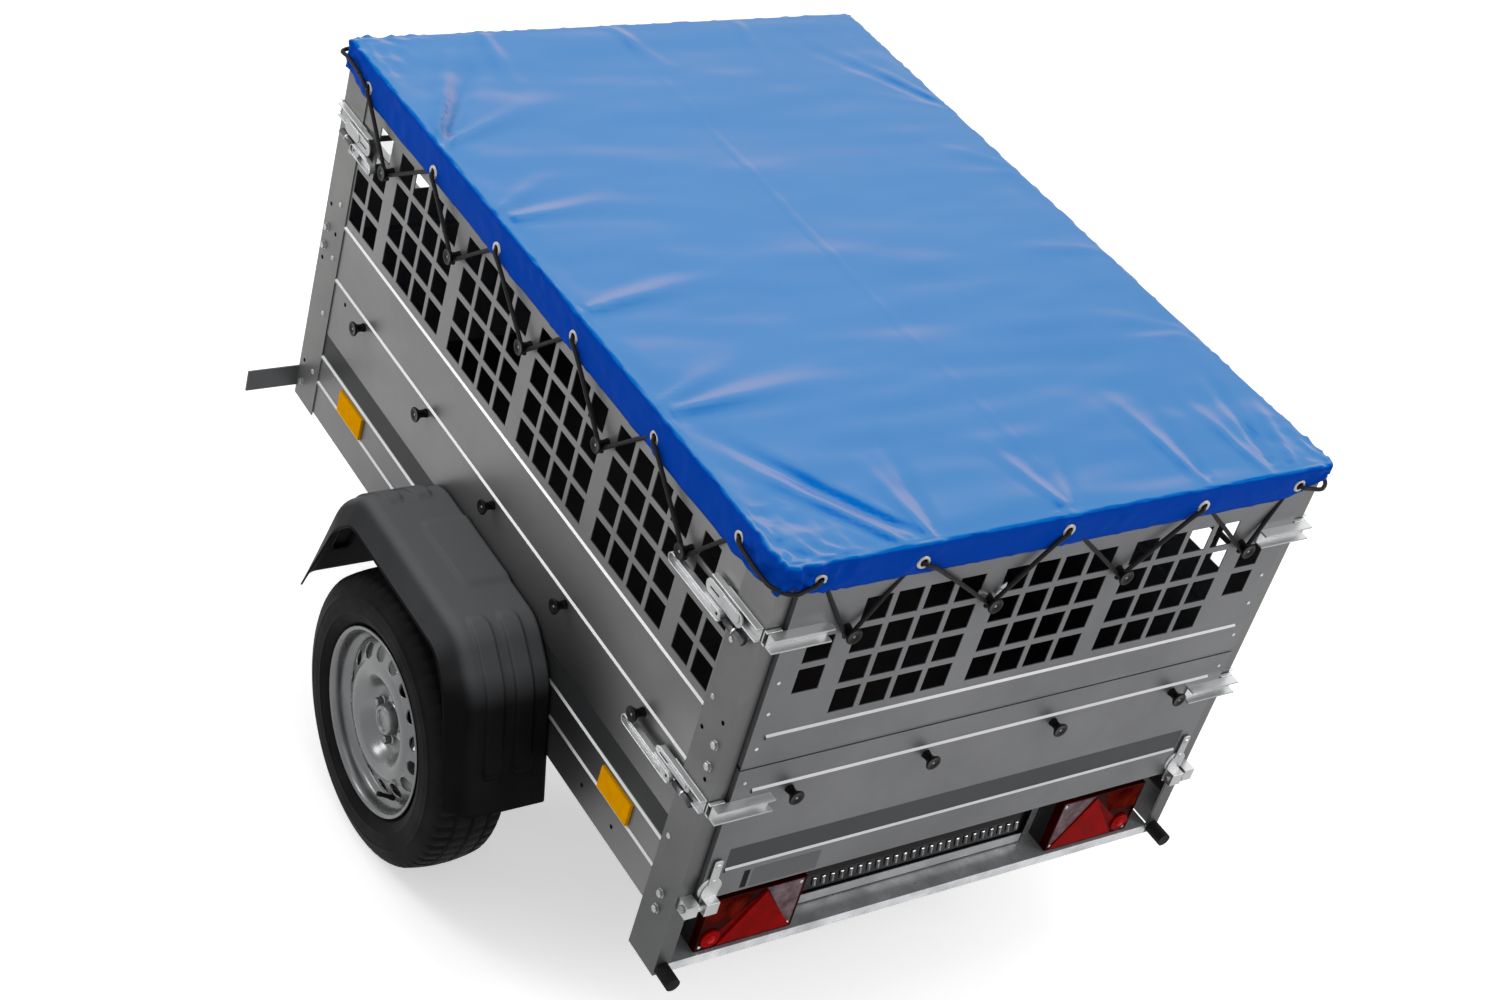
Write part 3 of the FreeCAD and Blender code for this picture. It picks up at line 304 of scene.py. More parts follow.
# Light and dark tone, scale of the clouds, roughness, metal, specular level, grain and its depth
finishes = {
    "galvSheet": ((0.158, 0.160, 0.165), (0.112, 0.114, 0.118), 2.2, (0.36, 0.48), 0.6, 0.2, 260, 0.03),
    "galvSide": ((0.185, 0.188, 0.184), (0.12, 0.122, 0.12), 1.6, (0.30, 0.44), 0.6, 0.2, 260, 0.03),
    "galvPost": ((0.165, 0.168, 0.162), (0.115, 0.118, 0.115), 3.0, (0.38, 0.5), 0.55, 0.2, 240, 0.04),
    # painted highlight for the upper faces of the rolled beads
    "paintedBeadHighlight": (0.62, (0.46, 0.46, 0.47), 4.0, (0.26, 0.38), 0.6, 0.3, 240, 0.02),
    "shelfZinc": ((0.72, 0.73, 0.75), (0.36, 0.37, 0.38), 14, (0.24, 0.36), 0.7, 0.3, 200, 0.04),
    "brightZinc": (0.44, (0.26, 0.265, 0.27), 7, (0.3, 0.4), 0.85, 0.3, 30, 0.01),
    # darker zinc for the latch barrels, as painted shade
    "barrelPaintedShade": ((0.16, 0.16, 0.165), (0.05, 0.05, 0.055), 40, (0.25, 0.4), 0.8, 0.3, 160, 0.05),
    "axleZinc": ((0.30, 0.31, 0.31), (0.18, 0.19, 0.20), 9, (0.4, 0.6), 0.6, 0.2, 120, 0.15),
    "rimSilver": ((0.18, 0.182, 0.185), (0.13, 0.132, 0.135), 5, (0.24, 0.32), 0.8, 0.2, 900, 0.02),
    "hubSteel": ((0.26, 0.27, 0.27), (0.13, 0.14, 0.14), 30, (0.25, 0.42), 0.85, 0.3, 300, 0.1),
    "boltZinc": (0.46, (0.26, 0.27, 0.28), 60, (0.25, 0.4), 0.7, 0.3, 300, 0.1),
    # dark plywood tone, darkened further as painted shade for the inside of the box
    "plywoodWithPaintedShade": ((0.022, 0.017, 0.014), (0.010, 0.008, 0.007), 5, (0.5, 0.65), 0, 0.1, 160, 0.25),
    "blackKnob": (0.006, 0.003, 40, (0.25, 0.35), 0, 0.1, 700, 0.06),
    "rubber": (0.012, 0.006, 18, (0.6, 0.78), 0, 0.1, 500, 0.25),
    "tyreRubber": (0.011, 0.005, 9, (0.5, 0.64), 0, 0.03, 420, 0.2),
    "cordBlack": ((0.010, 0.010, 0.011), 0.005, 220, (0.45, 0.6), 0, 0.15, 900, 0.5),
    "stripeGrey": ((0.050, 0.052, 0.056), (0.042, 0.044, 0.047), 3, (0.34, 0.44), 0, 0.1, 300, 0.02),
    "stripeBlack": ((0.022, 0.023, 0.024), (0.014, 0.015, 0.015), 3, (0.34, 0.44), 0, 0.1, 300, 0.02),
    "paleLabel": ((0.135, 0.137, 0.14), (0.085, 0.087, 0.09), 400, (0.4, 0.5), 0, 0.1, 700, 0.3),
    "plateGloss": ((0.004, 0.004, 0.005), 0.002, 12, (0.06, 0.14), 0, 0.04, 60, 0.12),
    "paintedRibReflection": ((0.22, 0.22, 0.23), 0.03, 16, (0.08, 0.16), 0.5, 0.1, 60, 0.1),
    "plateStrip": ((0.46, 0.465, 0.47), (0.36, 0.365, 0.37), 20, (0.3, 0.4), 0.1, 0.1, 300, 0.05),
    "lampBlack": (0.012, 0.006, 14, (0.35, 0.5), 0, 0.2, 400, 0.1),
    "amberLens": ((0.76, 0.34, 0.001), (0.68, 0.28, 0.0), 60, (0.3, 0.4), 0, 0, 260, 0.3),
    "redReflector": ((0.34, 0, 0), (0.16, 0, 0), 14, (0.2, 0.3), 0, 0.01, 300, 0.3),
    "redPaintedShade": ((0.20, 0, 0), (0.07, 0, 0), 18, (0.2, 0.3), 0, 0.01, 300, 0.3),
    "clearLens": ((0.34, 0.35, 0.38), (0.12, 0.13, 0.15), 30, (0.08, 0.2), 0.1, 0.1, 160, 0.3),
    "tarpEdge": ((0.42, 0.35, 0.27), (0.20, 0.20, 0.26), 30, (0.6, 0.8), 0, 0.1, 500, 0.3),
    "eyeletBrass": ((0.62, 0.58, 0.50), (0.44, 0.41, 0.35), 60, (0.25, 0.4), 0.25, 0.3, 300, 0.1),
    "palePrism": ((0.20, 0.15, 0.165), (0.07, 0.03, 0.035), 46, (0.2, 0.3), 0.1, 0.02, 240, 0.5),
    "amberShade": ((0.15, 0.012, 0.006), (0.03, 0, 0), 22, (0.3, 0.4), 0, 0, 240, 0.4),
    "paintedRedGlow": ((0.60, 0.003, 0.003), (0.36, 0, 0), 60, (0.1, 0.2), 0, 0.05, 200, 0.2),
    "redShade": ((0.045, 0, 0), (0.010, 0, 0), 12, (0.2, 0.3), 0, 0.01, 220, 0.4),
    "paintedHoleShade": (0.004, 0.002, 60, (0.8, 0.9), 0, 0, 300, 0.1),
}
# Painted light on the sheets in side view: dark patches of painted shade on the side sheets and the
# posts, a light patch of painted highlight near the side's rear end; middle, half sizes, strength,
# colour
paintedLightPatches = {
    "galvSide": (((-0.80, 0.58), (0.34, 0.30), 0.9, (0.016, 0.016, 0.017)),
                 ((-0.35, 0.52), (0.55, 0.22), 0.6, (0.035, 0.036, 0.037)),
                 ((-1.20, 0.80), (0.20, 0.10), 0.5, (0.30, 0.30, 0.30))),
    "galvPost": (((-1.19, 0.38), (0.4, 0.5), 0.75, (0.055, 0.056, 0.058)),),
}
# Painted highlight: a lighter tone on faces that look up
paintedTopHighlights = {"brightZinc": (0.84, 0.85, 0.86), "paintedRibReflection": (0.75, 0.75, 0.76)}
topHighlightFacing = {"Start": 0.35, "Full": 0.85, "Ragged": 0.0}
grainStretch = {"plywoodWithPaintedShade": (1, 0.1, 1), "paleLabel": (1, 0.02, 8)}


def shade(tone):
    # A colour with alpha, from three values or from one grey
    return (*tone, 1) if isinstance(tone, tuple) else (tone, tone, tone, 1)


def addRelief(tree, scale, strength, stretch=(1, 1, 1)):
    height = addNode(tree, "Group", {"Scale": scale, "Stretch": stretch}, node_tree=grain)
    return addNode(tree, "Bump", {"Strength": strength, "Distance": 0.5 * mm,
                                  "Height": height.outputs["Height"]}).outputs["Normal"]


def makeFinish(name, light, dark, scale, rough, metallic, spec, grainScale, bump):
    tree = newTree(name)
    cloud = addNode(tree, "Group", {"Light": shade(light), "Dark": shade(dark), "Scale": scale,
                                    "Spread": 1.0}, node_tree=clouding)
    tone = cloud.outputs["Color"]
    # painted shade and painted highlight patches laid over the tone
    for (x, z), (sizeX, sizeZ), most, color in paintedLightPatches.get(name, ()):
        values = {"Middle": (x, 0, z), "Stretch": (1 / sizeX, 0, 1 / sizeZ), "Most": most}
        tone = tintBy(tree, patch, values, tone, color)[0]
    # painted highlight where the face looks up
    if name in paintedTopHighlights:
        tone = tintBy(tree, facing, topHighlightFacing, tone, paintedTopHighlights[name])[0]
    paint(tree, {"Base Color": tone, "Metallic": metallic, "Specular IOR Level": spec,
                 "Roughness": addRamp(tree, cloud.outputs["Mask"], 0, 1, *rough),
                 "Normal": addRelief(tree, grainScale, bump, grainStretch.get(name, (1, 1, 1)))})


guardPaint = {"bare": (0.0035, 0.0035, 0.0038), "paintedSheen": (0.13, 0.133, 0.139), "rough": 0.46,
              "facing": {"Start": 0.22, "Full": 1.05, "Ragged": 0.25, "Scale": 5},
              "spec": 0.02, "grain": 900, "bump": 0.15}


def makeGuardMaterial():
    # Black moulded plastic with a painted sheen: greyer where it looks up
    look = guardPaint
    tree = newTree("moulded")
    plain = addNode(tree, "RGB").outputs[0]
    plain.default_value = shade(look["bare"])
    paint(tree, {"Base Color": tintBy(tree, facing, look["facing"], plain, look["paintedSheen"])[0],
                 "Roughness": look["rough"], "Specular IOR Level": look["spec"],
                 "Normal": addRelief(tree, look["grain"], look["bump"])})


tarpFinish = {
    # pale is a painted sheen; steep and hem are painted shade on one cloth colour
    "blue": (0.02, 0.215, 0.565), "deepBlue": (0.006, 0.195, 0.535), "hem": (0.0, 0.05, 0.385),
    "pale": (0.15, 0.255, 0.555), "steep": (0.0, 0.155, 0.58), "cloudScale": 4,
    "rough": 0.42, "spec": 0.01, "coat": 1.0, "coatRough": 0.3, "coatIor": 1.5,
    "paintedSheenFacing": {"Direction": (0.7, -0.62, 0), "Start": 0.0, "Full": 0.13,
                   "Ragged": 0.05, "Scale": 5},
    "paintedShadeFacing": {"Direction": (-0.7, 0.62, 0), "Start": 0.09, "Full": 0.34,
                    "Ragged": 0.04, "Scale": 9},
    "paintedHemShadeFacing": {"Start": 0.9, "Full": 0.5, "Ragged": 0.5, "Scale": 40},
    "weaveScale": 620, "weave": 0.1, "weaveDepth": 0.1 * mm,
}


def makeTarpMaterial():
    # Coated cloth with painted light: a painted sheen makes it paler where it leans away from the lamp,
    # painted shade makes it deep blue where it hangs and where folds lean the other way
    look = tarpFinish
    tree = newTree("tarpBlue")
    cloud = addNode(tree, "Group", {"Light": shade(look["blue"]), "Dark": shade(look["deepBlue"]),
                                    "Scale": look["cloudScale"]}, node_tree=clouding)
    tone = tintBy(tree, facing, look["paintedSheenFacing"], cloud.outputs["Color"], look["pale"])[0]
    tone, steepShadeMask = tintBy(tree, facing, look["paintedShadeFacing"], tone, look["steep"])
    tone, hemShadeMask = tintBy(tree, facing, look["paintedHemShadeFacing"], tone, look["hem"])
    bare = calculate(tree, "MAXIMUM", steepShadeMask, hemShadeMask)
    threads = [addNode(tree, "TexWave", {"Scale": look["weaveScale"], "Vector": addPlace(tree)},
                       bands_direction=axis).outputs["Fac"] for axis in ("X", "Y")]
    bump = addNode(tree, "Bump", {"Strength": look["weave"], "Distance": look["weaveDepth"],
                                  "Height": calculate(tree, "ADD", *threads)})
    paint(tree, {"Base Color": tone, "Coat Weight": addRamp(tree, bare, 0, 1, look["coat"], 0.0),
                 "Roughness": look["rough"], "Specular IOR Level": look["spec"],
                 "Coat Roughness": look["coatRough"], "Coat IOR": look["coatIor"],
                 "Normal": bump.outputs["Normal"]})


for finish, values in finishes.items():
    makeFinish(finish, *values)
makeGuardMaterial()
makeTarpMaterial()
print("materials ready:", len(materials))


# Building helpers
boxFaces = [(0, 3, 2, 1), (4, 5, 6, 7), (0, 1, 5, 4), (1, 2, 6, 5), (2, 3, 7, 6), (3, 0, 4, 7)]


def faceOutward(piece, weld=0):
    work = bmesh.new()
    work.from_mesh(piece.data)
    if weld:
        bmesh.ops.remove_doubles(work, verts=work.verts, dist=weld)
    bmesh.ops.recalc_face_normals(work, faces=work.faces)
    work.to_mesh(piece.data)
    work.free()


def newPiece(name, parts, finish, body="trailer", smooth=True, outward=True, weld=0):
    # One visible piece from parts, each with its vertices and faces
    verts, faces = [], []
    for partVerts, partFaces in parts:
        faces += [tuple(len(verts) + i for i in face) for face in partFaces]
        verts += partVerts
    mesh = bpy.data.meshes.new(name)
    mesh.from_pydata([tuple(v) for v in verts], [], faces)
    mesh.validate()
    mesh.materials.append(materials[finish])
    for polygon in mesh.polygons:
        polygon.use_smooth = smooth
    piece = addObject(name, mesh)
    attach(piece, body)
    if outward:
        faceOutward(piece, weld)
    return piece


def gridFaces(rows, columns, wrapRows=False, wrapColumns=False):
    faces = []
    for i in range(rows if wrapRows else rows - 1):
        for j in range(columns if wrapColumns else columns - 1):
            a, b = i * columns, ((i + 1) % rows) * columns
            k = (j + 1) % columns
            faces.append((a + j, a + k, b + k, b + j))
    return faces


def bevelEdges(piece, width, segments=2, angle=30):
    bevel = piece.modifiers.new("bevel", "BEVEL")
    bevel.width = width * mm
    bevel.segments = segments
    bevel.limit_method = "ANGLE"
    bevel.angle_limit = math.radians(angle)
    bevel.harden_normals = True


def thicken(piece, thickness, offset, rimFinish=None):
    solidify = piece.modifiers.new("thickness", "SOLIDIFY")
    solidify.thickness = thickness * mm
    solidify.offset = offset
    if rimFinish:
        piece.data.materials.append(materials[rimFinish])
        solidify.material_offset_rim = len(piece.data.materials) - 1


# Nodes of the frame: those with rolled beads, each node's finish and its broken edges in mm
ridged = ("side_panel_left side_panel_right front_panel tailgate_panel "
          "mesh_left mesh_right mesh_front mesh_rear").split()
beadLook = {"depth": 3.2 * mm, "lookingUp": (0.12, 0.97)}
dressed = {
    "galvSheet": "front_beam side_rails front_panel mesh_rear mesh_front tailgate_panel "
                 "marker_brackets",
    "galvSide": "side_panel_left side_panel_right mesh_left mesh_right",
    "shelfZinc": "rear_beam",
    "galvPost": "rear_posts front_posts mesh_posts",
    "brightZinc": "tailgate_straps hinge_brackets tailgate_keepers rear_upper_keepers "
                  "rear_latches front_latches coupling_head coupling_handle",
    "axleZinc": "axle_beam axle_brackets swing_arms drawbar_tube jockey_clamp jockey_tube "
                "jockey_leg jockey_fork",
    "plywoodWithPaintedShade": "floor_panel",
    "hubSteel": "hub_left hub_right",
    "lampBlack": "lamp_housings",
    "redReflector": "lamp_reflectors",
    "redShade": "lamp_lenses",
    "clearLens": "front_markers",
    "plateGloss": "plate_holder",
    "amberLens": "side_reflectors",
    "rubber": "rubber_buffers jockey_wheel",
    "rimSilver": "rim_left rim_right",
    "tyreRubber": "tyre_left tyre_right",
    "moulded": "fender_left fender_right",
    "blackKnob": "cover_knobs tailgate_knobs",
    "tarpBlue": "load_cover",
}
softEdges = {
    0.45: "mesh_left mesh_right mesh_front mesh_rear",
    0.8: "tailgate_straps",
    0.9: "rear_latches front_latches",
    1.0: "rear_beam side_rails front_beam tailgate_keepers rear_upper_keepers jockey_fork",
    1.2: "rear_posts front_posts mesh_posts hinge_brackets lamp_reflectors",
    1.4: "side_panel_left side_panel_right front_panel tailgate_panel",
    1.5: "plate_holder jockey_clamp",
    2: "coupling_handle lamp_housings front_markers side_reflectors drawbar_tube axle_beam",
    2.5: "lamp_lenses rubber_buffers",
    3: "coupling_head jockey_wheel",
}


def paintBeadHighlights(node, name):
    # Painted highlight: rolled beads get a lighter finish where they look up
    node.data.materials.append(materials["paintedBeadHighlight"])
    low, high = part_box(name)
    least, most = beadLook["lookingUp"]
    for polygon in node.data.polygons:
        middle = node.matrix_world @ polygon.center
        proud = min(middle.x - low.x, high.x - middle.x, middle.y - low.y, high.y - middle.y)
        if proud < beadLook["depth"] and least < polygon.normal.z < most:
            polygon.material_index = 1


def dressNodes():
    # A CAD node keeps its shape and gets its finish, with softly broken edges
    edges = {name: size for size, names in softEdges.items() for name in names.split()}
    for finish, names in dressed.items():
        for name in names.split():
            node = nodes[name]
            node.data.materials.clear()
            node.data.materials.append(materials[finish])
            if name in ridged:
                paintBeadHighlights(node, name)
            if name in edges:
                for polygon in node.data.polygons:
                    polygon.use_smooth = True
                bevelEdges(node, edges[name])


dressNodes()
print("frame dressed")


def solidsOf(name):
    # Boxes of the separate solids in one node of the frame
    mesh, world = nodes[name].data, nodes[name].matrix_world
    owner = list(range(len(mesh.vertices)))

    def root(i):
        while owner[i] != i:
            owner[i] = owner[owner[i]]
            i = owner[i]
        return i

    seen = {}
    for vertex in mesh.vertices:
        key = tuple(round(c, 5) for c in vertex.co)
        owner[root(vertex.index)] = root(seen.setdefault(key, vertex.index))
    for edge in mesh.edges:
        owner[root(edge.vertices[0])] = root(edge.vertices[1])
    groups = {}
    for vertex in mesh.vertices:
        groups.setdefault(root(vertex.index), []).append(world @ vertex.co)
    boxes = [tuple(Vector([pick(p[i] for p in points) for i in range(3)]) for pick in (min, max))
             for points in groups.values()]
    return sorted(boxes, key=lambda box: tuple(box[0]))


def easeStep(low, high, value):
    share = min(max((value - low) / (high - low), 0), 1)
    return share * share * (3 - 2 * share)


def turned(profile, center, axis, count):
    # A profile in mm (along, radius) turned about an axis through the center
    axis = Vector(axis).normalized()
    across = axis.orthogonal().normalized()
    other = axis.cross(across)
    verts = []
    for k in range(count):
        angle = 2 * math.pi * k / count
        spoke = across * math.cos(angle) + other * math.sin(angle)
        verts += [Vector(center) + axis * (along * mm) + spoke * (radius * mm)
                  for along, radius in profile]
    return verts, gridFaces(count, len(profile), wrapRows=True)


def turnedAt(places, profile, count):
    return [turned(profile, middle, outward, count) for middle, outward in places]


def throughPoints(points, per):
    # Catmull-Rom curve through the points
    ends = [points[0] * 2 - points[1]] + points + [points[-1] * 2 - points[-2]]
    curve = []
    for a, b, c, d in zip(ends, ends[1:], ends[2:], ends[3:]):
        for k in range(per):
            t = k / per
            curve.append(0.5 * (2 * b + (c - a) * t + (2 * a - 5 * b + 4 * c - d) * t * t
                                + (3 * b - a - 3 * c + d) * t ** 3))
    return curve + [points[-1]]


def tubeAlong(curve, radius, sides):
    verts = []
    side = None
    for i, point in enumerate(curve):
        heading = (curve[min(i + 1, len(curve) - 1)] - curve[max(i - 1, 0)]).normalized()
        side = heading.orthogonal() if side is None else side - heading * side.dot(heading)
        side.normalize()
        other = heading.cross(side)
        for k in range(sides):
            angle = 2 * math.pi * k / sides
            verts.append(point + (side * math.cos(angle) + other * math.sin(angle)) * radius)
    faces = gridFaces(len(curve), sides, wrapColumns=True)
    faces += [tuple(range(sides))[::-1], tuple(range(len(verts) - sides, len(verts)))]
    return verts, faces


# Load cover: stretched sheet with its hem, eyelets and edge crumples
coverLook = {
    "edgeRadius": 7 * mm, "cornerRadius": 17 * mm, "fineStep": 3 * mm, "step": 9.5 * mm,
    "fineSteps": 6, "growth": 1.35, "rollRows": 5, "hemRows": 9,
    "cloth": 0.9, "belly": 4 * mm, "highest": 6 * mm,
    "inset": (12 * mm, 8 * mm), "rise": 2.5 * mm,  # of the cloth from its box, along and across
    "hemZ": (1167 * mm, 1174 * mm), "cornerLift": (14 * mm, 28 * mm),  # sides, ends; left, right
    "sideEyelets": ((112, 1199), (373, 1193), (648, 1194), (926, 1184), (1176, 1182),
                    (1453, 1190)),  # mm from the rear, mm up
    "rearEyelets": ((505, 1203), (309, 1198), (18, 1204), (-279, 1197), (-500, 1201)),
    "eyeletOuter": 12.5, "eyeletInner": 6.6, "eyeletSink": 0.8 * mm,
    "gather": ((0.42, 1.0), (0.1, 0.55)),  # of the corners' creases: rear, front; right, left
    "gatherReach": (0.03, 0.21), "eyeReach": 34 * mm, "eyeShare": 0.5, "eyeCalm": 15 * mm,
    "creaseScale": (27, 1.6),  # over the cloth and down the hem
    "creases": (3.4, 0.62), "fineCreases": (3.0, 0.38), "finer": 2.3,  # sharpness and share
    "waves": (9, 1.4, 3), "fineWaves": (34, 2, 8),  # scale over the cloth, down the hem, start
    "push": (-2.4 * mm, 9.5 * mm),  # least and most of the roll and the hem
    "hemPush": (0.6, 2.2, 0.35, 0.8),  # mm: plain, of the waves, their start, of the fine waves
    "gatherPush": 15.0 * mm, "gatherLeast": 0.12, "hemEase": 0.3, "tuck": 1.2 * mm,
    "hemRun": (3.1, 2.7), "hemLift": (1.8, 0.8, 6),  # mm: of the waves, the swing, the creases
    "leastLift": -2 * mm, "liftReach": 0.11,
    "slackScale": (7, 2.4, 2.6), "slack": (3.4, 1.3, 1.5),  # along, across, finer; wide, fine, all
    "edgeFold": 0.5, "edgeGather": 0.6,  # what is left of folds and creases at the top's edge
    "foldReach": 0.03, "slackReach": 0.05, "bellyReach": 0.35, "seamReach": 0.3,
    "creaseReach": 0.012, "dipReach": (0.018, 0.06), "dip": (1.4, 22),  # mm at the edge, further in
    "seamPlace": 0.008, "seamLean": 0.01, "seamDepth": 1.3 * mm, "seamWidth": 4 * mm,
    "topCrumple": 5.5 * mm,
}
foldLook = {"before": 0.02, "rise": 0.12, "fall": 0.25, "reach": 3, "trough": 0.7}
# Tension folds: start, end, height, half-width at the start and at the end (mm)
coverFolds = [
    ((-35, 565), (330, 322), -11, 10, 34), ((-20, 572), (300, 380), 8, 9, 28),
    ((-40, 572), (120, 250), 5, 9, 38), ((-275, 572), (-225, 250), 6, 12, 44),
    ((-255, 572), (-120, 380), 5, 10, 34), ((-555, 572), (-470, 200), 6, 12, 48),
    ((-830, 572), (-790, 160), 6.5, 12, 50), ((-815, 572), (-700, 330), 5, 11, 40),
    ((-1195, 318), (-840, 552), -9, 9, 26), ((-1220, 345), (-900, 560), 7, 8, 24),
    ((-1220, 300), (-980, 300), 5.5, 8, 26), ((-1220, 285), (-900, 215), -4, 8, 28),
    ((-1220, 20), (-980, 60), 4.5, 8, 26), ((-1220, 10), (-1020, -90), -3.5, 8, 26),
    ((-1220, -279), (-900, -262), 5, 8, 26), ((-1220, -290), (-930, -330), -3.5, 8, 26),
    ((-1220, -440), (-880, -515), -6, 8, 22), ((-1220, -480), (-1000, -550), 5, 8, 20),
    ((-1220, -420), (-940, -400), 4.5, 8, 26), ((352, 300), (100, 330), 3.5, 12, 38),
    ((352, 18), (120, -40), 3, 12, 38), ((352, -279), (110, -250), 2, 12, 38),
]
coverFolds += [((a[0], -a[1]), (b[0], -b[1]), height * 0.22, near, far)
               for a, b, height, near, far in coverFolds if a[1] > 560]


def foldHeight(x, y):
    # Sum of the folds at a place on the top, in metres
    look = foldLook
    total = 0
    for (ax, ay), (bx, by), height, near, far in coverFolds:
        lengthX, lengthY = bx - ax, by - ay
        length = math.hypot(lengthX, lengthY)
        along = ((x - ax) * lengthX + (y - ay) * lengthY) / length ** 2
        if not -look["before"] <= along <= 1:
            continue
        across = ((x - ax) * lengthY - (y - ay) * lengthX) / length
        reach = abs(across) / (near + (far - near) * along)
        if reach <= look["reach"]:
            fade = easeStep(0, look["rise"], along + look["before"])
            fade *= 1 - easeStep(look["fall"], 1, along)
            total += height * fade * (1 - look["trough"] * reach * reach) * math.exp(-reach * reach)
    return total * mm


def gradedLine(half):
    # Places from -half to half, close together at the ends
    ends, place, step = [0], 0, coverLook["fineStep"]
    while step < coverLook["step"] or len(ends) < coverLook["fineSteps"]:
        place += step
        ends.append(place)
        if len(ends) >= coverLook["fineSteps"]:
            step *= coverLook["growth"]
    middle = 2 * (half - place)
    count = round(middle / coverLook["step"])
    inner = [-half + place + middle * k / count for k in range(1, count)]
    return [-half + e for e in ends] + inner + [half - e for e in reversed(ends)]


coverLow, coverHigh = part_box("load_cover")
coverMiddle = (coverLow + coverHigh) / 2
coverInset = Vector((*coverLook["inset"], 0))
coverLow, coverHigh = coverLow + coverInset, coverHigh - coverInset
coverHigh.z += coverLook["rise"]
coverHalf = (coverHigh - coverLow) / 2
coverFlatX, coverFlatY = (coverHalf.x - coverLook["edgeRadius"], coverHalf.y - coverLook["edgeRadius"])
coverArc = coverLook["cornerRadius"] - coverLook["edgeRadius"]


def pastCorner(x, y):
    # How far a place is past the start of the corner's arc, along and across
    return abs(x) - (coverFlatX - coverArc), abs(y) - (coverFlatY - coverArc)


def eyeletPlaces():
    # Middle and outward direction of each eyelet, round the whole hem
    look = coverLook
    sink = look["eyeletSink"]
    places = []
    for sign in (1, -1):
        places += [(Vector((rearX + fromRear * mm, sign * (coverHigh.y - sink), z * mm)),
                    Vector((0, sign, 0))) for fromRear, z in look["sideEyelets"]]
        x = coverHigh.x - sink if sign > 0 else coverLow.x + sink
        places += [(Vector((x, across * mm, z * mm)), Vector((sign, 0, 0)))
                   for across, z in look["rearEyelets"]]
    return places


eyelets = eyeletPlaces()
eyeletMiddles = [middle for middle, outward in eyelets]


def crumple(x, y, reach):
    # Short creases that gather towards the four corners, and a little at each eyelet
    look = coverLook
    fromCorner = math.hypot(max(coverHalf.x - abs(x - coverMiddle.x), 0),
                            max(coverHalf.y - abs(y), 0))
    share = look["gather"][x > coverMiddle.x][y > 0]
    near = share * (1 - easeStep(*look["gatherReach"], fromCorner))
    fromEye = min(math.hypot(x - eye.x, y - eye.y) for eye in eyeletMiddles)
    near = max(near, look["eyeShare"] * share * math.exp(-(fromEye / look["eyeReach"]) ** 2))
    scale, scaleDown = look["creaseScale"]
    place = Vector((x * scale, y * scale, reach * scaleDown))
    (sharp, part), (fineSharp, finePart) = look["creases"], look["fineCreases"]
    ridge = 1 - sharp * abs(noise(place))
    finer = 1 - fineSharp * abs(noise(place * look["finer"]))
    return near * (part * ridge + finePart * finer)


def ripple(edge, lower, scale, scaleDown, start):
    return noise(Vector((edge.x * scale, edge.y * scale, lower * scaleDown + start)))


def hemBottom(x, y):
    # Height of the hem's lower edge: pulled up towards the corners
    fromEndX, fromSideY = coverHalf.x - abs(x - coverMiddle.x), coverHalf.y - abs(y)
    base = coverLook["hemZ"][fromSideY >= fromEndX]
    lift = coverLook["cornerLift"][y <= 0]
    return base + lift * (1 - easeStep(0, coverLook["liftReach"], max(fromEndX, fromSideY)))


def coverEdgePoint(x, y, row):
    # A place on the roll or the hem: row counts down from the edge of the top
    look = coverLook
    radius = look["edgeRadius"]
    dx, dy = pastCorner(x, y)
    if dx > 0 and dy > 0:
        outward = Vector((math.copysign(dx, x), math.copysign(dy, y), 0)).normalized()
    elif dx > dy:
        outward = Vector((math.copysign(1, x), 0, 0))
    else:
        outward = Vector((0, math.copysign(1, y), 0))
    if row <= look["rollRows"]:
        angle = math.pi / 2 * row / look["rollRows"]
        out, down, lower = radius * math.sin(angle), radius * (1 - math.cos(angle)), 0
    else:
        angle = math.pi / 2
        lower = (row - look["rollRows"]) / look["hemRows"]
        hem = coverHigh.z - hemBottom(x + coverMiddle.x, y) - radius
        out, down = radius - look["tuck"] * lower, radius + hem * lower
    normal = outward * math.sin(angle) + Vector((0, 0, 1)) * math.cos(angle)
    edge = Vector((x + coverMiddle.x, y, coverHigh.z)) + outward * out - Vector((0, 0, down))
    run = edge.x * look["hemRun"][0] + edge.y * look["hemRun"][1]
    wave = ripple(edge, lower, *look["waves"])
    fine = ripple(edge, lower, *look["fineWaves"])
    gather = crumple(edge.x, edge.y, lower)
    plain, waved, start, fined = look["hemPush"]
    push = (plain + waved * wave * (start + lower) + fined * fine) * mm
    gather -= look["gatherLeast"] * (gather > 0)
    push += look["gatherPush"] * gather * (1 - look["hemEase"] * lower)
    push = max(look["push"][0], min(push, look["push"][1]))
    fromEye = min((edge - eye).length for eye in eyeletMiddles)
    calm = math.exp(-(fromEye / look["eyeCalm"]) ** 2)
    push = push * (1 - calm) - look["eyeletSink"] * calm
    waved, swung, creased = look["hemLift"]
    lift = (waved * wave + swung * math.sin(run * 2)) * mm * lower
    lift += creased * mm * crumple(edge.x, edge.y, 2) * lower
    point = edge + normal * push + Vector((0, 0, max(lift, look["leastLift"]) * (1 - calm)))
    if row < look["rollRows"]:
        fold = foldHeight(edge.x / mm, edge.y / mm) * look["edgeFold"]
        point.z += fold * (1 - row / look["rollRows"])
    point.z = min(point.z, coverHigh.z + look["highest"])
    return point


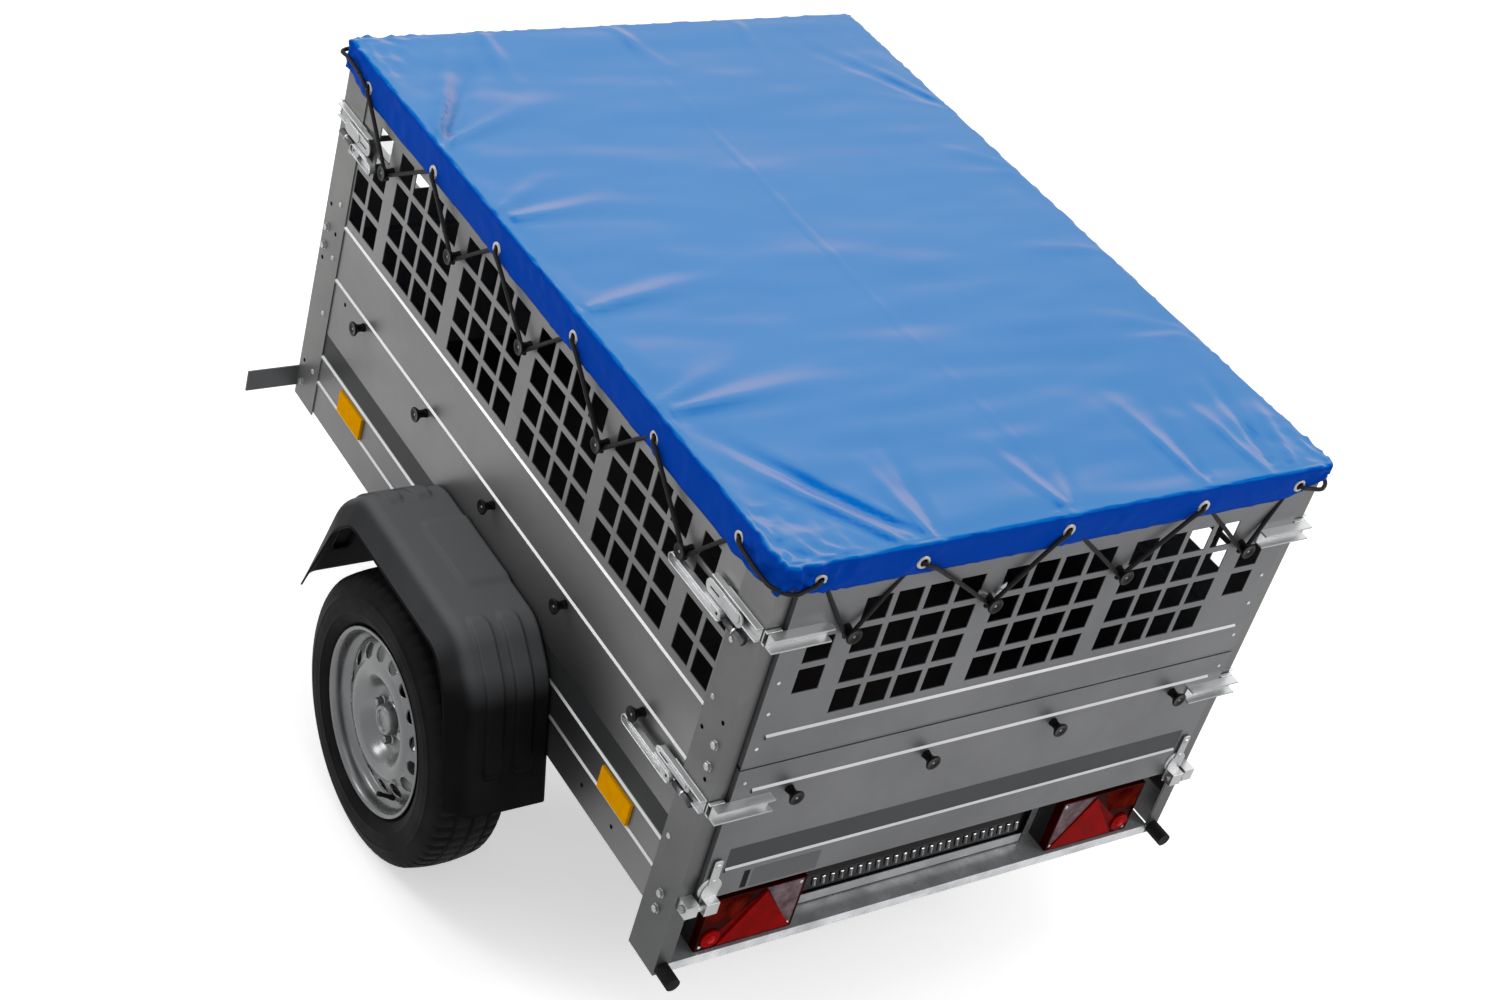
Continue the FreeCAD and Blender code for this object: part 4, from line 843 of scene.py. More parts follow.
def coverTopPoint(x, y):
    # A place on the top, with the corners rounded: folds, slack, middle seam and creases
    look = coverLook
    dx, dy = pastCorner(x, y)
    if dx > 0 and dy > 0:
        pull = max(dx, dy) / math.hypot(dx, dy)
        x = math.copysign(coverFlatX - coverArc + dx * pull, x)
        y = math.copysign(coverFlatY - coverArc + dy * pull, y)
    inside = min(coverFlatX - abs(x), coverFlatY - abs(y))
    place = Vector((x + coverMiddle.x, y, 0))
    along, across, finer = look["slackScale"]
    wide, fine, overall = look["slack"]
    slack = Vector((place.x * along, place.y * across, 0))
    soft = noise(slack) * wide + noise(slack * finer) * fine

    def fromEdge(least, reach):
        return least + (1 - least) * easeStep(0, look[reach], inside)

    height = foldHeight(place.x / mm, place.y / mm) * fromEdge(look["edgeFold"], "foldReach")
    height += overall * soft * mm * fromEdge(0, "slackReach")
    height -= look["belly"] * fromEdge(0, "bellyReach")
    crease = abs(place.y - look["seamPlace"] - look["seamLean"] * place.x)
    seam = math.exp(-(crease / look["seamWidth"]) ** 2)
    height += look["seamDepth"] * seam * fromEdge(0, "seamReach")
    gathered = crumple(place.x, place.y, 0) * fromEdge(look["edgeGather"], "creaseReach")
    height += look["topCrumple"] * gathered
    edgeDip, dip = look["dip"]
    height = max(height, (-edgeDip - dip * easeStep(*look["dipReach"], inside)) * mm)
    return Vector((place.x, place.y, coverHigh.z + min(height, look["highest"])))


def makeCover():
    look = coverLook
    lineX, lineY = gradedLine(coverFlatX), gradedLine(coverFlatY)
    verts = [coverTopPoint(x, y) for x in lineX for y in lineY]
    rows, columns = len(lineX), len(lineY)
    faces = gridFaces(rows, columns)
    ring = [i * columns for i in range(rows)]
    ring += [(rows - 1) * columns + j for j in range(1, columns)]
    ring += [i * columns + columns - 1 for i in range(rows - 2, -1, -1)]
    ring += [j for j in range(columns - 2, 0, -1)]
    flat = [(verts[i].x - coverMiddle.x, verts[i].y) for i in ring]
    count = len(ring)
    last = ring
    for row in range(1, look["rollRows"] + look["hemRows"] + 1):
        current = list(range(len(verts), len(verts) + count))
        verts += [coverEdgePoint(x, y, row) for x, y in flat]
        faces += [(last[k], last[(k + 1) % count], current[(k + 1) % count], current[k])
                  for k in range(count)]
        last = current
    piece = newPiece("load_cover_cloth", [(verts, faces)], "tarpBlue")
    thicken(piece, look["cloth"], -1, "tarpEdge")
    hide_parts("load_cover")
    return piece


def makeEyelets():
    outer, inner = coverLook["eyeletOuter"], coverLook["eyeletInner"]
    ring = [(-3.0, inner), (0.8, inner), (2.0, inner + 1.2), (2.2, (inner + outer) / 2),
            (1.6, outer - 0.9), (-0.5, outer)]
    # dark disc of painted shade in each eyelet's opening
    hole = [(0.9, 0.01), (0.9, inner + 0.3)]
    return [newPiece("cover_eyelets", turnedAt(eyelets, ring, 28), "eyeletBrass"),
            newPiece("cover_eyelet_holes", turnedAt(eyelets, hole, 20), "paintedHoleShade")]


coverPiece = makeCover()
eyeletPieces = makeEyelets()
coverDrop = coverHigh.z - sum(coverLook["hemZ"]) / 2
print("load cover ready")


# Elastic cord that holds the cover down to the upper knobs
cordLook = {"radius": 3.9 * mm, "sides": 10, "perSpan": 7, "reach": 5 * mm, "hook": 11.2 * mm,
            "inFront": 5.2 * mm, "behind": 6 * mm,
            "besideEye": ((0.05, 5 * mm), (0.22, 20 * mm))}  # share of the way to a knob, drop
knobBoxes = solidsOf("cover_knobs")
upperZ = max((low.z + high.z) / 2 for low, high in knobBoxes)
sideKnobX = sorted((low.x + high.x) / 2 for low, high in knobBoxes
                   if low.y > 0.5 and high.z > upperZ)
rearKnobY = sorted((low.y + high.y) / 2 for low, high in knobBoxes
                   if high.x < rearX and high.z > upperZ)


def cordRun(eyes, knobs, place, pattern):
    # Points of one side's cord: eyelet, knob, eyelet ... place(along, outward, z) makes a point
    look = cordLook
    hook, over = look["hook"], 1 * mm
    points = []
    for k, (eyelet, eyeZ) in enumerate(eyes):
        def besideEye(knob, inFront):
            level = look["inFront"] if inFront else -look["behind"]
            return [place(eyelet + (knob - eyelet) * share, level, eyeZ - drop)
                    for share, drop in look["besideEye"]]

        if k > 0:
            points += reversed(besideEye(knobs[k - 1], pattern[k][0]))
        points.append(place(eyelet, 0, eyeZ))
        if k < len(eyes) - 1:
            points += besideEye(knobs[k], pattern[k][1])
            sign = math.copysign(1, knobs[k] - eyelet)
            points += [place(knobs[k] + sign * hook * share, look["reach"], upperZ + height)
                       for share, height in ((-1, over), (-0.6, -hook * 0.8), (0, -hook),
                                             (0.6, -hook * 0.8), (1, over))]
    return points


def makeCord():
    out = cordLook["inFront"]
    side = [(rearX + e * mm, z * mm) for e, z in reversed(coverLook["sideEyelets"])]
    rear = [(e * mm, z * mm) for e, z in coverLook["rearEyelets"]]
    # which parts of the cord lie in front of the hem: coming to the eyelet, leaving it
    sidePattern = [(True, True)] + [(False, True)] * (len(side) - 1)
    rearPattern = [(True, False), (False, True), (True, False), (True, False), (False, True)]
    knobsAlong, knobsAcross = sideKnobX[::-1], rearKnobY[::-1]
    (firstX, firstZ), (lastX, lastZ) = side[0], side[-1]
    sideRuns, frontRuns = [], []
    for sign in (1, -1):
        def onSideHem(along, outward, z, sign=sign):
            return Vector((along, sign * (coverHigh.y + outward), z))

        # over the rear corner, in front of the hem
        endY, endZ = rear[0] if sign > 0 else rear[-1]
        corner, level = coverLow.x, (lastZ + endZ) / 2 - 9 * mm
        sideRuns.append(
            [onSideHem(firstX + 30 * mm, out, firstZ + 12 * mm),
             onSideHem(firstX + 6 * mm, out, firstZ + 3 * mm)]
            + cordRun(side, knobsAlong, onSideHem, sidePattern)
            + [onSideHem(lastX - 14 * mm, out, lastZ - 4 * mm),
               onSideHem(corner + 46 * mm, out + 2 * mm, level - 2 * mm),
               onSideHem(corner + 12 * mm, 3.5 * mm, level),
               onSideHem(corner - out - 2 * mm, -20 * mm, level),
               Vector((corner - out, (endY + sign * (coverHigh.y - 20 * mm)) / 2, level + 3 * mm)),
               Vector((corner - out, endY + sign * 8 * mm, endZ - 2 * mm)),
               Vector((corner, endY, endZ))])
        frontRuns.append(
            [onSideHem(firstX + 30 * mm, out, firstZ + 12 * mm),
             onSideHem(coverHigh.x - 26 * mm, out, firstZ + 16 * mm),
             onSideHem(coverHigh.x + 4 * mm, 4 * mm, firstZ + 14 * mm),
             onSideHem(coverHigh.x + out, -26 * mm, endZ + 6 * mm),
             Vector((coverHigh.x + out, endY + sign * 8 * mm, endZ + 1 * mm)),
             Vector((coverHigh.x, endY, endZ))])
    endRuns = [cordRun(rear, knobsAcross, lambda along, outward, z, x=x, sign=sign:
                       Vector((x + sign * outward, along, z)), rearPattern)
               for x, sign in ((coverLow.x, -1), (coverHigh.x, 1))]
    curves = [throughPoints(run, cordLook["perSpan"]) for run in sideRuns + endRuns + frontRuns]
    length = sum((b - a).length for curve in curves for a, b in zip(curve, curve[1:]))
    print("cord length %.2f m" % length)
    newPiece("cover_cord", [tubeAlong(curve, cordLook["radius"], cordLook["sides"])
                            for curve in curves], "cordBlack")


makeCord()
print("cord ready")


# Knobs: a flared head on a waisted neck, with a small screw
knobProfile = [(0, 8.6), (1.5, 8.6), (4, 7.9), (8, 7.3), (12, 7.6), (15.5, 9.2), (18.5, 11.6),
               (21, 13.8), (22.4, 14.6), (24, 14.6), (24.9, 13.8), (24.6, 11.4), (23.6, 7.0),
               (23.0, 4.0), (22.8, 0.01)]
screwProfile = [(22.8, 2.6), (23.6, 2.5), (24.0, 1.9), (24.2, 1.0), (24.2, 0.01)]


def knobPlaces(name):
    places = []
    for low, high in solidsOf(name):
        middle = (low + high) / 2
        if abs(middle.y) < sheetY:
            outward = Vector((math.copysign(1, middle.x - coverMiddle.x), 0, 0))
            foot = Vector((high.x if outward.x < 0 else low.x, middle.y, middle.z))
        else:
            outward = Vector((0, math.copysign(1, middle.y), 0))
            foot = Vector((middle.x, high.y if outward.y < 0 else low.y, middle.z))
        places.append((foot, outward))
    return places


def makeKnobs(node, body):
    places = knobPlaces(node)
    heads = newPiece(node + "_turned", turnedAt(places, knobProfile, 26), "blackKnob", body)
    newPiece(node + "_screws", turnedAt(places, screwProfile, 14), "hubSteel", body)
    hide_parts(node)


makeKnobs("cover_knobs", "trailer")
makeKnobs("tailgate_knobs", "tailgate")
print("knobs ready")


# Mudguards: soft-edged moulding with two ribs at each end and a raised roof panel
guardLook = {
    "topRise": 306.5, "foldRise": 232, "footRise": 4, "topHalf": 191, "foldHalf": 273.5,
    "footHalf": 345.7, "skirtTopRise": 255, "skirtFoldRise": 202, "skirtTopHalf": 175.4,
    "skirtFoldHalf": 228.6, "skirtFootHalf": 311.7, "edgeDrop": 3.0, "edgeWidth": 5,
    "foldCut": 34, "creaseCut": 17, "flare": 31, "wall": 3.6, "flange": 20,
    "alongSteps": 250, "acrossStep": 2.6, "bendSteps": 8,
    "ribStarts": (34, 92), "ribWidth": 36, "ribHeight": 5.2, "ribRoof": 26, "ribFoot": 70,
    "ribRound": 9, "panelFront": 95, "panelRear": -84, "panelWidth": 92, "panelHeight": 4.8,
    "panelCorner": 16, "soft": 3.4, "roofBand": 8, "skirtCut": 0.8, "ahead": 0.002,
    "steep": 0.7, "lipShare": 0.6, "flangeRows": (1, 0.3),
}


def bend(start, corner, end, t):
    # Curve that rounds a corner
    return start * (1 - t) ** 2 + corner * 2 * t * (1 - t) + end * t ** 2


def roundedLine(corners, cut, share):
    # Point at a share of a six-point outline whose four bends are softened by the same cut
    count = len(corners) - 1
    k = min(int(share * count), count - 1)
    t = share * count - k
    a, b = Vector(corners[k]), Vector(corners[k + 1])
    near = cut / (b - a).length
    if t < near and k > 0:
        start = a + (Vector(corners[k - 1]) - a).normalized() * cut
        return bend(start, a, a + (b - a).normalized() * cut, 0.5 + 0.5 * t / near)
    if t > 1 - near and k < count - 1:
        end = b + (Vector(corners[k + 2]) - b).normalized() * cut
        return bend(b + (a - b).normalized() * cut, b, end, 0.5 - 0.5 * (1 - t) / near)
    return a.lerp(b, t)


def hexOutline(topHalf, top, foldHalf, fold, footHalf, foot):
    return [(-footHalf, foot), (-foldHalf, fold), (-topHalf, top),
            (topHalf, top), (foldHalf, fold), (footHalf, foot)]


def softStep(edge, value):
    soft = guardLook["soft"]
    return easeStep(edge - soft / 2, edge + soft / 2, value)


def guardRelief(look, x, z, out):
    # Height of the ribs and of the roof panel over the plain surface, in mm
    soft = look["soft"]
    height = 0
    if z > look["topRise"] - look["roofBand"]:
        corner = look["panelCorner"]
        ahead, behind, beside = look["panelFront"] - x, x - look["panelRear"], look["panelWidth"] - out
        rounding = max(math.hypot(max(corner - end, 0), max(corner - beside, 0))
                       for end in (ahead, behind)) - corner
        inside = min(ahead, behind, beside)
        inside = min(inside, -rounding) if rounding > -corner else inside
        height = look["panelHeight"] * easeStep(-soft, soft, inside)
    fromFold = abs(x) - look["topHalf"]
    half = look["ribWidth"] / 2
    for start in look["ribStarts"]:
        across = softStep(start, out) * (1 - softStep(start + look["ribWidth"], out))
        rounding = look["ribRound"] * min(abs(out - start - half) / half, 1) ** 4
        roofEnd = softStep(rounding - look["ribRoof"], fromFold)
        footEnd = softStep(look["footRise"] + look["ribFoot"] + rounding, z)
        height = max(height, look["ribHeight"] * across * roofEnd * footEnd)
    return height


def guardSection(look, roof, skirt, outs, reach, share):
    # One section across the guard, from its inner flange to its outer lip
    onRoof = roundedLine(roof, look["foldCut"], share)
    onSkirt = roundedLine(skirt, look["foldCut"] * look["skirtCut"], share)
    ahead = roundedLine(roof, look["foldCut"], min(share + look["ahead"], 1))
    behind = roundedLine(roof, look["foldCut"], max(share - look["ahead"], 0))
    heading = (ahead - behind).normalized()
    normal = Vector((-heading.y, heading.x))
    if normal.y < 0 and abs(normal.x) < look["steep"]:
        normal = -normal
    section = []
    for depth in look["flangeRows"]:
        inner = onRoof - normal * look["flange"] * depth
        section.append((inner.x, 0, inner.y))
    for out in outs:
        relief = guardRelief(look, onRoof.x, onRoof.y, out)
        relief -= look["edgeDrop"] * (1 - easeStep(0, look["edgeWidth"], out))
        section.append((onRoof.x + normal.x * relief, out, onRoof.y + normal.y * relief))
    crease = Vector((onRoof.x, reach, onRoof.y))
    lip = Vector((onSkirt.x, reach + look["flare"], onSkirt.y))
    start = Vector((onRoof.x, reach - look["creaseCut"], onRoof.y))
    toLip = lip - crease
    end = crease + toLip.normalized() * min(look["creaseCut"], toLip.length * look["lipShare"])
    steps = look["bendSteps"]
    section += [tuple(bend(start, crease, end, step / steps)) for step in range(steps + 1)]
    section += [tuple(end.lerp(lip, step / steps)) for step in range(1, steps + 1)]
    return section


def makeGuard(name, sign):
    look = guardLook
    low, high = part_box(name)
    wheelMiddle = (low.x + high.x) / 2
    inner = low.y if sign > 0 else -high.y
    reach = ((high.y if sign > 0 else -low.y) - inner) / mm - look["flare"]
    roof = hexOutline(look["topHalf"], look["topRise"], look["foldHalf"], look["foldRise"],
                      look["footHalf"], look["footRise"])
    skirt = hexOutline(look["skirtTopHalf"], look["skirtTopRise"], look["skirtFoldHalf"],
                       look["skirtFoldRise"], look["skirtFootHalf"], look["footRise"])
    outs = [0.0]
    while outs[-1] + look["acrossStep"] < reach - look["creaseCut"]:
        outs.append(outs[-1] + look["acrossStep"])
    sections = [guardSection(look, roof, skirt, outs, reach, k / look["alongSteps"])
                for k in range(look["alongSteps"] + 1)]
    verts = [Vector((wheelMiddle + x * mm, sign * (inner + y * mm), shelfZ + z * mm))
             for section in sections for x, y, z in section]
    piece = newPiece(name + "_moulding", [(verts, gridFaces(len(sections), len(sections[0])))],
                     "moulded")
    if piece.data.polygons[len(piece.data.polygons) // 2].normal.z < 0:
        for polygon in piece.data.polygons:
            polygon.flip()
    thicken(piece, look["wall"], -1)
    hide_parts(name)


makeGuard("fender_left", 1)
makeGuard("fender_right", -1)
print("mudguards ready")


# Tyres: ribs, sipes and sidewall rings
tyreLook = {"radius": 280, "crown": 0.0019, "pitches": 62, "steps": 5, "grooveDepth": 6.5,
            "sipeDepth": 4.5, "grooves": (-34, 0, 34), "grooveWidth": 9, "shoulder": 39,
            "edges": (-56, -52, 52, 56),  # places across the tread, besides the grooves' own
            "between": (-46, -40.5, -24, -14, 14, 24, 40.5, 46),
            "wallSipes": (262, 273), "ribSipe": 0.55, "slant": 0.35, "sway": (0.004, 0.09)}
tyreWall = [(58, 175), (61.5, 180), (66, 183), (72, 189), (76, 197), (78.4, 204), (79.2, 205),
            (79.9, 206), (79.6, 208), (79.4, 214), (80, 222), (79.6, 230), (78.8, 234),
            (79.4, 236), (79.2, 238), (77.6, 240), (75.4, 248), (72.6, 256), (69.6, 262),
            (66, 267.5), (62, 271.2), (58, 273.6)]


def tyreColumns():
    # Profile from one bead over the tread to the other: place across, radius, kind
    look = tyreLook
    half = look["grooveWidth"] / 2
    tread = [*look["edges"], *look["between"]]
    for groove in look["grooves"]:
        tread += [groove + side * (half + step) for side in (-1, 1) for step in (1, 0, -1.5)]
    columns = [(-out, radius, "wall") for out, radius in tyreWall]
    for place in sorted(tread):
        crown = look["radius"] - look["crown"] * place * place
        kind = "shoulder" if abs(place) > look["shoulder"] else "rib"
        if any(abs(place - groove) < half - 0.5 for groove in look["grooves"]):
            crown, kind = crown - look["grooveDepth"], "groove"
        columns.append((place, crown, kind))
    return columns + [(out, radius, "wall") for out, radius in reversed(tyreWall)]


def wheelHub(side):
    low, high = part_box("tyre_" + side)
    return (low + high) / 2


def roundHub(hub, angle, out, radius):
    # A place round the wheel's hub, with out and radius in mm
    return hub + Vector((radius * math.sin(angle), out, radius * math.cos(angle))) * mm


def makeTyre(side):
    look, hub = tyreLook, wheelHub(side)
    columns = tyreColumns()
    count = look["pitches"] * look["steps"]
    sipeStart, sipeFull = look["wallSipes"]
    most, perMm = look["sway"]
    verts = []
    for k in range(count):
        for out, radius, kind in columns:
            slant = 0.0
            onSipe = k % look["steps"] == 0
            if kind == "shoulder" and onSipe:
                radius -= look["sipeDepth"]
            elif kind == "wall" and radius > sipeStart and onSipe:
                radius -= look["sipeDepth"] * easeStep(sipeStart, sipeFull, radius)
            elif kind == "rib" and (k + (1 if out > 0 else 3)) % look["steps"] == 0:
                radius -= look["sipeDepth"] * look["ribSipe"]
                slant = look["slant"]
            angle = 2 * math.pi * (k + slant) / count + most * math.sin(out * perMm)
            verts.append(roundHub(hub, angle, out, radius))
    piece = newPiece("tyre_" + side + "_tread",
                     [(verts, gridFaces(count, len(columns), wrapRows=True))],
                     "tyreRubber", "wheel_" + side)
    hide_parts("tyre_" + side)


makeTyre("left")
makeTyre("right")
print("tyres ready")


# Rims: drop-centre barrel, vented slope, crest and deep dish
rimLook = {"vents": 16, "ventRadius": 15.0, "ventCircle": 131, "thickness": 3.2, "weld": 0.15 * mm,
           "loops": 3, "sideSteps": 6, "bolts": 4, "boltCircle": 50, "boltOut": 25,
           "valveTurn": 3.75, "valveCircle": 148, "valveOut": 44}
barrelProfile = [(69, 179.6), (71, 178.4), (70.6, 175.6), (67.5, 173), (62, 171), (56, 170.4),
                 (49, 169.4), (44, 166), (40.5, 160), (38, 156.5), (34, 154.5), (10, 153),
                 (-18, 153), (-26, 157), (-34, 166), (-44, 170), (-58, 171.5), (-64, 173),
                 (-66, 177), (-65, 179.6)]
discOuter = [(33, 155.0), (36.5, 152), (40.5, 149)]  # from the barrel up to the vented band
discInner = [(54.0, 114.5), (57.0, 110), (59.0, 104.5), (59.6, 98.5), (58.6, 92.5), (55.8, 87),
             (51.4, 82), (45.8, 77.6), (39.8, 73.8), (34, 70.2), (29.4, 66.4), (26.6, 61.6),
             (25.2, 56), (24.8, 49), (25.0, 42), (26.4, 37), (27.6, 33.6), (27.4, 30)]
boltSeat = [(0, 15), (2.2, 13), (3.2, 11), (3.4, 9.6)]
boltHead = [(2.6, 9.2), (14, 9.2), (16, 7.2), (16.2, 0.01)]
nave = [(26, 33), (30, 32.6), (33, 30.6), (46.6, 29.4), (50, 27.6), (51.6, 24), (51.4, 21),
        (47.4, 19), (46.8, 0.01)]
valveStem = [(0, 5.6), (8, 5.2), (12, 4.2), (26, 4.0), (27, 4.8), (35, 4.8), (36, 3.6), (36, 0.01)]


def ventPatch(hub, sign, vent):
    # The band round one vent, from the round hole out to its four-sided border
    look = rimLook
    (bandOut, radiusOut), (bandIn, radiusIn) = discOuter[-1], discInner[0]
    pitch, circle, steps = 2 * math.pi / look["vents"], look["ventCircle"], look["sideSteps"]
    middle = (radiusOut - circle) / (radiusOut - radiusIn)
    border = [(pitch * k / steps - pitch / 2, 0.0) for k in range(steps)]
    border += [(pitch / 2, k / steps) for k in range(steps)]
    border += [(pitch / 2 - pitch * k / steps, 1.0) for k in range(steps)]
    border += [(-pitch / 2, 1 - k / steps) for k in range(steps)]
    verts = []
    for loop in range(look["loops"] + 1):
        for turn, share in border:
            acrossX = turn * circle
            acrossR = (share - middle) * (radiusIn - radiusOut)
            hole = look["ventRadius"] / math.hypot(acrossX, acrossR)
            grow = hole + (1 - hole) * loop / look["loops"]
            angle = pitch * vent + acrossX * grow / circle
            place = middle + acrossR * grow / (radiusIn - radiusOut)
            radius = radiusOut + (radiusIn - radiusOut) * place
            along = bandOut + (bandIn - bandOut) * place + 1.6 * math.sin(math.pi * place)
            verts.append(roundHub(hub, angle, sign * along, radius))
    return verts, gridFaces(look["loops"] + 1, len(border), wrapColumns=True)


def makeRim(side, sign):
    look = rimLook
    hub, name, outward = wheelHub(side), "rim_" + side, Vector((0, sign, 0))
    barrel, outer, inner = [turned(profile, hub, outward, look["vents"] * look["sideSteps"])
                            for profile in (barrelProfile, discOuter, discInner)]
    vents = [ventPatch(hub, sign, vent) for vent in range(look["vents"])]
    piece = newPiece(name + "_steel", [barrel, *vents, outer, inner], "rimSilver",
                     "wheel_" + side, weld=look["weld"])
    thicken(piece, look["thickness"], 0)
    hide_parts(name)
    # bolt heads round the hub, each on a conical seat, and the valve by the rim
    bolts = []
    for k in range(look["bolts"]):
        angle = 2 * math.pi * (k + 0.03) / look["bolts"]
        place = roundHub(hub, angle, sign * look["boltOut"], look["boltCircle"])
        bolts += [turned(boltSeat, place, outward, 20), turned(boltHead, place, outward, 6)]
    bolts.append(turned(nave, hub, outward, 36))
    bevelEdges(newPiece(name + "_bolts", bolts, "hubSteel", "wheel_" + side), 0.8, 2, 25)
    towards = Vector((math.sin(look["valveTurn"]), 0, math.cos(look["valveTurn"])))
    place = hub + (towards * look["valveCircle"] + outward * look["valveOut"]) * mm
    lean = (outward * 0.9 - towards * 0.44).normalized()
    newPiece(name + "_valve", [turned(valveStem, place, lean, 14)], "rubber", "wheel_" + side)


makeRim("left", 1)
makeRim("right", -1)
print("rims ready")


# Stripes and labels: thin blank films on the sheets
filmLook = {"side": (84, 1461, 229, 277), "gate": (-500, 498, 222, 270),  # start, end, low, high
            "label": (296, 433, 163, 206), "mark": (440, 452, 164, 205)}


def makeFilm(name, corners, finish, body="trailer", lift=0.25):
    # A flat four-cornered film a little off the sheet, with a thin edge
    a, b, c, d = corners
    offset = (b - a).cross(d - a).normalized() * lift * mm
    newPiece(name, [([a, b, c, d] + [p + offset for p in (a, b, c, d)], boxFaces)], finish, body,
             smooth=False)


def makeFilms():
    start, end, low, high = filmLook["side"]
    for sign, name in ((1, "left"), (-1, "right")):
        spots = [onSide(*spot, sign) for spot in ((start, low), (end, low), (end, high), (start, high))]
        makeFilm("side_stripe_" + name, spots[::-sign], "stripeBlack")
    for name, finish in (("gate", "stripeGrey"), ("label", "paleLabel"), ("mark", "plateGloss")):
        start, end, low, high = filmLook[name]
        spots = [onRear(*spot) for spot in ((end, low), (start, low), (start, high), (end, high))]
        makeFilm("tailgate_" + name, spots, finish, "tailgate")


makeFilms()


# Bolts, rivets and punched holes, the holes drawn as thin dark discs of painted shade: profile in mm
# and number of sides
fixingShapes = {
    "hex": ([(0, 9.5), (1.4, 9.5), (1.5, 7.4), (6.0, 7.4), (6.8, 6.4), (6.8, 0.01)], 6),
    "dome": ([(0, 5.6), (1.0, 5.3), (2.0, 4.2), (2.7, 2.4), (2.9, 0.01)], 14),
    "dot": ([(0, 3.6), (0.8, 3.4), (1.5, 2.2), (1.7, 0.01)], 12),
    "hole": ([(0.35, 4.2), (0.4, 4.0), (0.4, 0.01)], 14),
}
postFixings = {  # mm from the rear, mm above the shelf
    "hex": ((41, 139), (41, 103), (26, 490), (26, 444), (1527, 485), (1527, 444), (1522, 119)),
    "dome": ((67, 248), (67, 557), (67, 676), (1486, 439), (1486, 310), (1486, 168), (1491, 557),
             (1491, 676)),
    "hole": ((26, 537), (70, 490), (26, 415), (1527, 537), (1491, 490), (1527, 415), (1527, 168)),
}
sheetHoles = ((320, 122), (214, 124), (1411, 380))
endRivets = {"across": 516, "mesh": (500, 575, 640, 716), "gate": 425}


def fixing(kind, place, outward):
    profile, sides = fixingShapes[kind]
    return turned(profile, place, outward, sides)


def makeFixings():
    fasteners, rivets, holes, gate = [], [], [], []
    look = endRivets
    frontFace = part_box("mesh_front")[1].x - beadRise
    for sign in (1, -1):
        aside, y = Vector((0, sign, 0)), sign * look["across"] * mm
        for kind, places in postFixings.items():
            target = holes if kind == "hole" else fasteners
            target += [fixing(kind, (rearX + fromRear * mm, sign * halfWidth, shelfZ + above * mm),
                              aside) for fromRear, above in places]
        holes += [fixing("hole", onSide(*spot, sign), aside) for spot in sheetHoles]
        for above in look["mesh"]:
            z = shelfZ + above * mm
            rivets += [fixing("dot", (gateX, y, z), (-1, 0, 0)),
                       fixing("dot", (frontFace, y, z), (1, 0, 0))]
        gate.append(fixing("dot", (gateX, y, shelfZ + look["gate"] * mm), (-1, 0, 0)))
    newPiece("post_bolts", fasteners, "boltZinc", smooth=False)
    newPiece("end_rivets", rivets, "shelfZinc", smooth=False)
    newPiece("sheet_holes", holes, "paintedHoleShade", smooth=False)
    newPiece("tailgate_rivets", gate, "shelfZinc", "tailgate", smooth=False)


makeFixings()
print("films and fixings ready")


# Latches, in mm from the body's corner: channel end, link plate, barrel and a hollow lever
latchLook = {
    "sheet": 3, "channel": 27, "plate": (3, 112), "plateCut": 8, "plateFoot": (20, 34),
    "plateOut": (0.2, 3), "flangeFoot": 2.5, "upperFlange": (138, 14), "lowerFlange": (92, 12),
    "hookOut": 2.5, "hookEnd": 541, "hookFlange": 9,
    "link": (40, 148), "linkHeight": 26, "linkGap": (1, 4.5), "linkOut": (9, 12.6),
    "pad": (48, 104), "padInset": (3, 1), "padOut": (12, 14.4),
    "core": (62, 128), "coreInset": 4, "coreOut": (2.5, 10),
    "slot": (108, 134), "slotHalf": 1.2, "slotOut": (12.3, 12.9),
    "leverStart": 84, "leverHeight": 20, "leverFoot": 0.3, "leverWall": 2,
    "leverOut": (8.5, 10.5, 20), "web": (6, 112), "webUp": (3, 6), "webOut": (2.5, 9.5),
    "grip": (4, 34), "gripInset": 1.6, "gripOut": (10, 17), "pinIn": 14,
    "pinHole": [(0, 3), (0.5, 0.01)], "collar": [(0, 7.6), (3, 7.6)], "collarPlace": (52, 9, 9.4),
    "barrel": [(0, 0.01), (0, 7), (52, 7), (52, 0.01)], "barrelPlace": (28, 9, 9.4),
}


def slab(outline, place, low, high):
    # Prism over a flat outline; place(along, up, out) makes a point
    count = len(outline)
    verts = [place(a, u, low) for a, u in outline] + [place(a, u, high) for a, u in outline]
    faces = [tuple(range(count))[::-1], tuple(range(count, 2 * count))]
    faces += [(k, (k + 1) % count, count + (k + 1) % count, count + k) for k in range(count)]
    return verts, faces


def block(place, along, up, out):
    return slab([(along[0], up[0]), (along[1], up[0]), (along[1], up[1]), (along[0], up[1])],
                place, *out)


def stadium(left, right, low, high, steps=8):
    radius, middle = (high - low) / 2, (high + low) / 2
    points = []
    for center, start in ((right - radius, -math.pi / 2), (left + radius, math.pi / 2)):
        for k in range(steps + 1):
            turn = start + math.pi * k / steps
            points.append((center + radius * math.cos(turn), middle + radius * math.sin(turn)))
    return points


def trough(outer, inner, place, low, floor, high):
    # Open tray: outer and inner outlines with as many points each
    rings = ((outer, low), (outer, high), (inner, high), (inner, floor))
    count = len(outer)
    faces = gridFaces(4, count, wrapColumns=True)
    faces += [tuple(range(count)), tuple(range(3 * count, 4 * count))]
    return [place(a, u, level) for ring, level in rings for a, u in ring], faces


